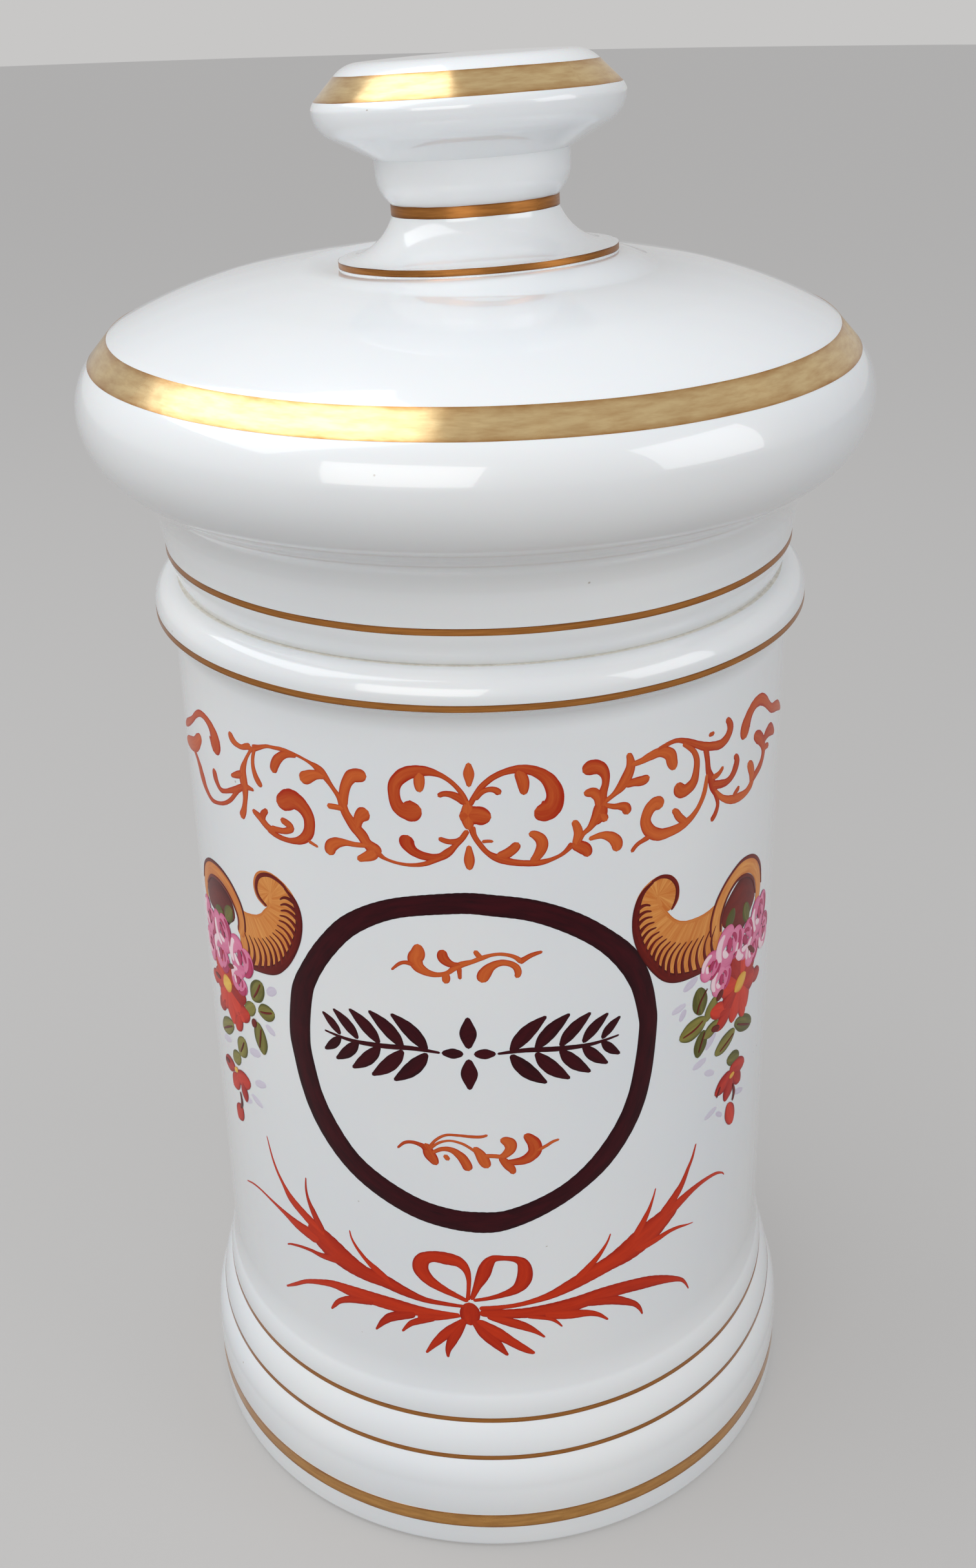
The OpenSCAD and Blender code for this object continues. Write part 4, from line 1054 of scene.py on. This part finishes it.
def skin(depth):
    """The cover's skin from the crease up to the kiln vent, a depth below the outside."""
    corners = []
    for place, faces, _ in COVER_SKIN:
        turn = math.radians(faces)
        corners.append(Vector(place) - depth * Vector((math.cos(turn), math.sin(turn))))
    crown = corners[-1].y
    points = []
    for i, (place, _, sag) in enumerate(COVER_SKIN[:-2]):
        p, q = corners[i], corners[i + 1]
        if sag:
            points += arc(p, q, sag * (q - p).length / math.dist(place, COVER_SKIN[i + 1][0]))
        else:
            points.append(tuple(p))
    points += arc(corners[-2], (0, crown), level_sag(corners[-2], (0, crown)))
    return [p for p in points if p[0] > VENT_R] + [(VENT_R, crown)]


def near_knob(outline):
    """The outline, cut finer round the knob's foot, where the crown is blended to it."""
    points = []
    for p, q in zip(outline, outline[1:]):
        near = min(p[0], q[0]) < NEAR_KNOB[1] and max(p[0], q[0]) > NEAR_KNOB[0]
        points += finely([p, q], NEAR_STEP if near else RING_STEP)[:-1]
    return points + [outline[-1]]


def pare_to_knob(point):
    """Moves a point of the crown up or down, so that it meets the leaning foot in a soft sweep."""
    local = KNOB_PLACE.inverted() @ point
    away = (math.hypot(local.x, local.y) / MM - KNOB_FOOT_R) / SEAT_SWEEP
    if away > 1 or point.z < CROWN_LOW:
        return point
    away = max(away, 0)
    local.z *= away * away * (3 - 2 * away)
    return KNOB_PLACE @ local


def cover_unglazed(r, z):
    """The flange's outside and the edge that rests on the seat."""
    return z < JAR_H + 0.05 and r > FLANGE_IN[0] + 0.2


skirt_low = (MOUTH_R + 4.7, JAR_H)
cover_outline = (
    [FLANGE_IN, (FLANGE_IN[0], FLANGE_Z)]
    + quarter((FLANGE_R - FLANGE_ROUND, FLANGE_Z), (FLANGE_R, FLANGE_Z + FLANGE_ROUND))
    + [(FLANGE_R, FLANGE_Z + FLANGE_ROUND), (FLANGE_R, JAR_H)]
    + [(skirt_low[0] - SKIRT_ROUND, JAR_H), (skirt_low[0], JAR_H + SKIRT_ROUND)]
    + [SKIRT_LINE[0], SKIRT_LINE[1]]
    + near_knob(skin(0))
    + skin(COVER_T)[::-1]
    + arc((SKIRT_LINE[1][0] - COVER_T, SKIRT_LINE[1][1]), FLANGE_IN, -1)
    + [FLANGE_IN]
)
cover = turned("lid_cover_shell", cover_outline, (glaze, bare), cover_unglazed, pare_to_knob)
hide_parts("lid_cover")
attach(cover, "lid")


# ---- The knob -----------------------------------------------------------------------------------
# A waisted knob with a flat disc head, pressed apart from the cover and luted on with slip a little
# askew. A round-ended hollow was cored into it from below, so that it fires evenly.

KNOB_FOOT_LINE = ((KNOB_FOOT_R, 0.2), (KNOB_FOOT_R, 1.3))
NECK_LINE = ((14.3, 7.9), (14.3, 9.8))
CUP, HEAD_LOW = (16.5, 14.4), (16.65, 17.0)
HEAD_TURN, HEAD_WIDE = (23.35, 20.5), (26.2, 25.2)
RIM_BAND = ((25.6, 26.4), (21.9, 30.1))
TOP_EDGE, KNOB_TOP = (18.18, 31.9), (0, 32.3)
CORE_R, CORE_H = 9.0, 24.0
knob_outline = (
    quarter((0, CORE_H), (CORE_R, CORE_H - CORE_R))
    + [(CORE_R, CORE_H - CORE_R), (CORE_R, 0), (KNOB_FOOT_R, 0), KNOB_FOOT_LINE[0]]
    + arc(KNOB_FOOT_LINE[1], NECK_LINE[0], -1.9)
    + [NECK_LINE[0]]
    + arc(NECK_LINE[1], CUP, 0.55)
    + [CUP, HEAD_LOW]
    + arc(HEAD_TURN, HEAD_WIDE, 0.8)
    + arc(HEAD_WIDE, RIM_BAND[0], 0.06)
    + [RIM_BAND[0]]
    + arc(RIM_BAND[1], TOP_EDGE, 0.35)
    + arc(TOP_EDGE, KNOB_TOP, 0.12)
    + [KNOB_TOP]
)
knob = turned("lid_knob_disc", knob_outline, (glaze,))
knob.data.transform(KNOB_PLACE)
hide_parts("lid_knob")
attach(knob, "lid")


# ---- Gilding ------------------------------------------------------------------------------------
# Liquid gold, banded on with a brush while the piece turns on a wheel, then fired and burnished. It
# is brighter in the broad bands and browner in the thin lines and at the brush's edges. This is
# partly the gold's own thickness and partly painted light: the broad gold's pale, whitish tone is a
# painted highlight, and the foot band and the thin lines are darker copies that paint in the dark
# reflections of narrow curved lines.

GILT_PROUD = 0.03
GILT_BACK = 1.2
GILT_WAVER = 0.05
SWAYS = (3, 7, 17)


def gilding(name, bright, thin, rough):
    """Fired gold: a mirror with rubbed patches, browner where it lies thin. Each copy's two colours
    also carry painted highlight or painted shade as well as the gold's own tone.
    """
    material, tree, shader = plain_material(name)
    depth = node(tree, "ShaderNodeGroup", node_tree=WASH, Streaks=0.8, Between_strokes=0.0)
    rub = noise_on(tree, object_place(tree), Scale=60.0, Detail=4.0, Roughness=0.65)
    worn = node(tree, "ShaderNodeMapRange", Value=rub, From_Min=0.35, From_Max=0.75, To_Min=rough,
                To_Max=rough + 0.2)
    give(tree, shader, Metallic=1.0, Roughness=worn.outputs["Result"],
         Base_Color=ramp(tree, depth.outputs["Depth"], (0.3, bright), (0.95, thin)))
    add_waver(tree, shader, Slow_scale=80.0, Slow_height=0.0004, Fine_scale=900.0,
              Fine_height=0.000004)
    return material


# Lighter and darker copies of one gold: the broad gold's pale tone is partly a painted highlight,
# and the foot and line golds are darker partly as painted shade for the reflections of narrow
# lines.
broad_gold = gilding("broad_gilding", paint(236, 207, 154), paint(178, 122, 62), 0.13)
foot_gold = gilding("foot_gilding", paint(212, 158, 92), paint(140, 84, 42), 0.17)
line_gold = gilding("line_gilding", paint(190, 128, 68), paint(108, 58, 30), 0.22)
brush_hand = random.Random(11)


def gilt_line(name, cad_node, body, band, material, place=Matrix.Identity(4)):
    """A line banded right round on the porcelain, with edges that waver a little."""
    low, high = Vector(band[0]), Vector(band[1])
    along = (high - low).normalized()
    out = Vector((along.y, -along.x)) * GILT_PROUD
    bevel = along * GILT_PROUD
    section = [low - out, low + bevel + out, low.lerp(high, 0.5) + out * GILT_BACK,
               high - bevel + out, high - out]
    phases = [brush_hand.uniform(0, 2 * math.pi) for _ in SWAYS]

    def waver(point):
        turn = math.atan2(point.y, point.x)
        sway = sum(math.sin(turns * turn + phase) / turns ** 0.5
                   for turns, phase in zip(SWAYS, phases))
        shift = along * GILT_WAVER * sway * MM
        r = math.hypot(point.x, point.y)
        return Vector((point.x * (1 + shift.x / r), point.y * (1 + shift.x / r), point.z + shift.y))

    made = turned(name, [tuple(p) for p in section + section[:1]], (material,), pare=waver)
    across = made.data.attributes.new("across", "FLOAT", "POINT")
    around = made.data.attributes.new("along", "FLOAT", "POINT")
    for i, vert in enumerate(made.data.vertices):
        spot = Vector((math.hypot(vert.co.x, vert.co.y), vert.co.z)) / MM
        share = (spot - low).dot(along) / (high - low).length
        across.data[i].value = 2 * share - 1
        around.data[i].value = math.atan2(vert.co.y, vert.co.x) * low.x * MM
    made.data.transform(place)
    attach(made, body)
    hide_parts(cad_node)


gilt_line("foot_lower_gilding", "foot_lower_gilt_band", "jar_body", FOOT_BAND, foot_gold)
gilt_line("foot_middle_gilding", "foot_middle_gilt_line", "jar_body", TORUS_LINE, line_gold)
gilt_line("foot_upper_gilding", "foot_upper_gilt_line", "jar_body", RIB_LINE, line_gold)
gilt_line("collar_gilding", "collar_gilt_line", "jar_body", COLLAR_LINE, line_gold)
gilt_line("skirt_gilding", "skirt_gilt_line", "lid", SKIRT_LINE, line_gold)
gilt_line("cover_gilding", "cover_gilt_band", "lid", COVER_BAND, broad_gold)
gilt_line("knob_foot_gilding", "knob_foot_gilt_line", "lid", KNOB_FOOT_LINE, line_gold, KNOB_PLACE)
gilt_line("knob_neck_gilding", "knob_neck_gilt_line", "lid", NECK_LINE, line_gold, KNOB_PLACE)
gilt_line("knob_rim_gilding", "knob_rim_gilt_band", "lid", RIM_BAND, broad_gold, KNOB_PLACE)


# ---- Camera -------------------------------------------------------------------------------------
# It stands where the photograph was taken: close in front of the jar, above it and looking down.

camera = put("camera", bpy.data.cameras.new("camera"))
camera.data.sensor_fit = "VERTICAL"
camera.data.sensor_width = 36
camera.data.sensor_height = 36
camera.data.lens = 38.2
camera.location = (0, -0.29511, 0.29101)
PITCH, YAW, ROLL = (math.radians(a) for a in (26.904, 0.116, -1.3305))
camera.rotation_mode = "QUATERNION"
camera.rotation_quaternion = (
    Matrix.Rotation(-YAW, 4, "Z") @ Matrix.Rotation(math.pi / 2 - PITCH, 4, "X")
    @ Matrix.Rotation(ROLL, 4, "Z")
).to_quaternion()
bpy.context.scene.camera = camera


# ---- Light and floor ----------------------------------------------------------------------------
# Soft daylight in a pale room: a large window high on the left, a warmer one in front, a weak one
# on the right, and a round sheet of pale paper for a floor.

FLOOR_R = 5.0
FLOOR_SIDES = 96
FLOOR_GLOW = 0.3


def soft_lamp(name, place, aim, width, height, power, colour):
    """A large soft lamp that looks at a point."""
    lamp = bpy.data.lights.new(name, "AREA")
    lamp.shape = "RECTANGLE"
    lamp.size, lamp.size_y, lamp.energy, lamp.color = width, height, power, colour
    holder = put(name, lamp)
    holder.location = place
    holder.rotation_mode = "QUATERNION"
    holder.rotation_quaternion = (Vector(aim) - Vector(place)).to_track_quat("-Z", "Y")


soft_lamp("window_lamp", (-0.5, 0.0, 0.95), (0, 0, 0.2), 0.9, 0.8, 4.5, (0.93, 0.97, 1.0))
soft_lamp("front_lamp", (-0.32, -0.85, 0.5), (0, 0, 0.14), 0.7, 0.5, 2.8, (1.0, 0.985, 0.95))
soft_lamp("fill_lamp", (0.85, -0.4, 0.55), (0, 0, 0.12), 0.6, 0.6, 2.3, (0.97, 0.985, 1.0))


def only_looking(tree):
    """Is 1 for the camera and for what shines or is clear, so that they see a pale background."""
    path = tree.nodes.new("ShaderNodeLightPath").outputs
    seen = maths(tree, "MAXIMUM", path["Is Camera Ray"], path["Is Glossy Ray"])
    return maths(tree, "MAXIMUM", seen, path["Is Transmission Ray"])


world = bpy.data.worlds.new("studio")
bpy.context.scene.world = world
world.use_nodes = True
room = world.node_tree
ambient = room.nodes["Background"]
give(room, ambient, Color=(0.95, 0.965, 1.0, 1), Strength=0.6)
backdrop = node(room, "ShaderNodeBackground", Color=paint(200, 199, 198), Strength=1.0)
either = node(room, "ShaderNodeMixShader", only_looking(room), ambient.outputs[0],
              backdrop.outputs[0])
give(room, room.nodes["World Output"], Surface=either.outputs[0])

rim = []
for i in range(FLOOR_SIDES):
    turn = 2 * math.pi * i / FLOOR_SIDES
    rim.append((FLOOR_R * math.cos(turn), FLOOR_R * math.sin(turn), 0))
floor_mesh = bpy.data.meshes.new("floor")
floor_mesh.from_pydata(rim, [], [tuple(range(FLOOR_SIDES))])
paper, paper_tree, paper_shader = plain_material("pale_floor")
give(paper_tree, paper_shader, Base_Color=paint(138, 136, 134), Roughness=0.9)
glow = node(paper_tree, "ShaderNodeEmission", Color=paint(236, 235, 234),
            Strength=maths(paper_tree, "MULTIPLY", only_looking(paper_tree), FLOOR_GLOW))
both = node(paper_tree, "ShaderNodeAddShader", paper_shader.outputs[0], glow.outputs[0])
give(paper_tree, paper_tree.nodes["Material Output"], Surface=both.outputs[0])
floor_mesh.materials.append(paper)
floor = put("floor", floor_mesh)

bpy.context.scene.view_settings.view_transform = "Standard"
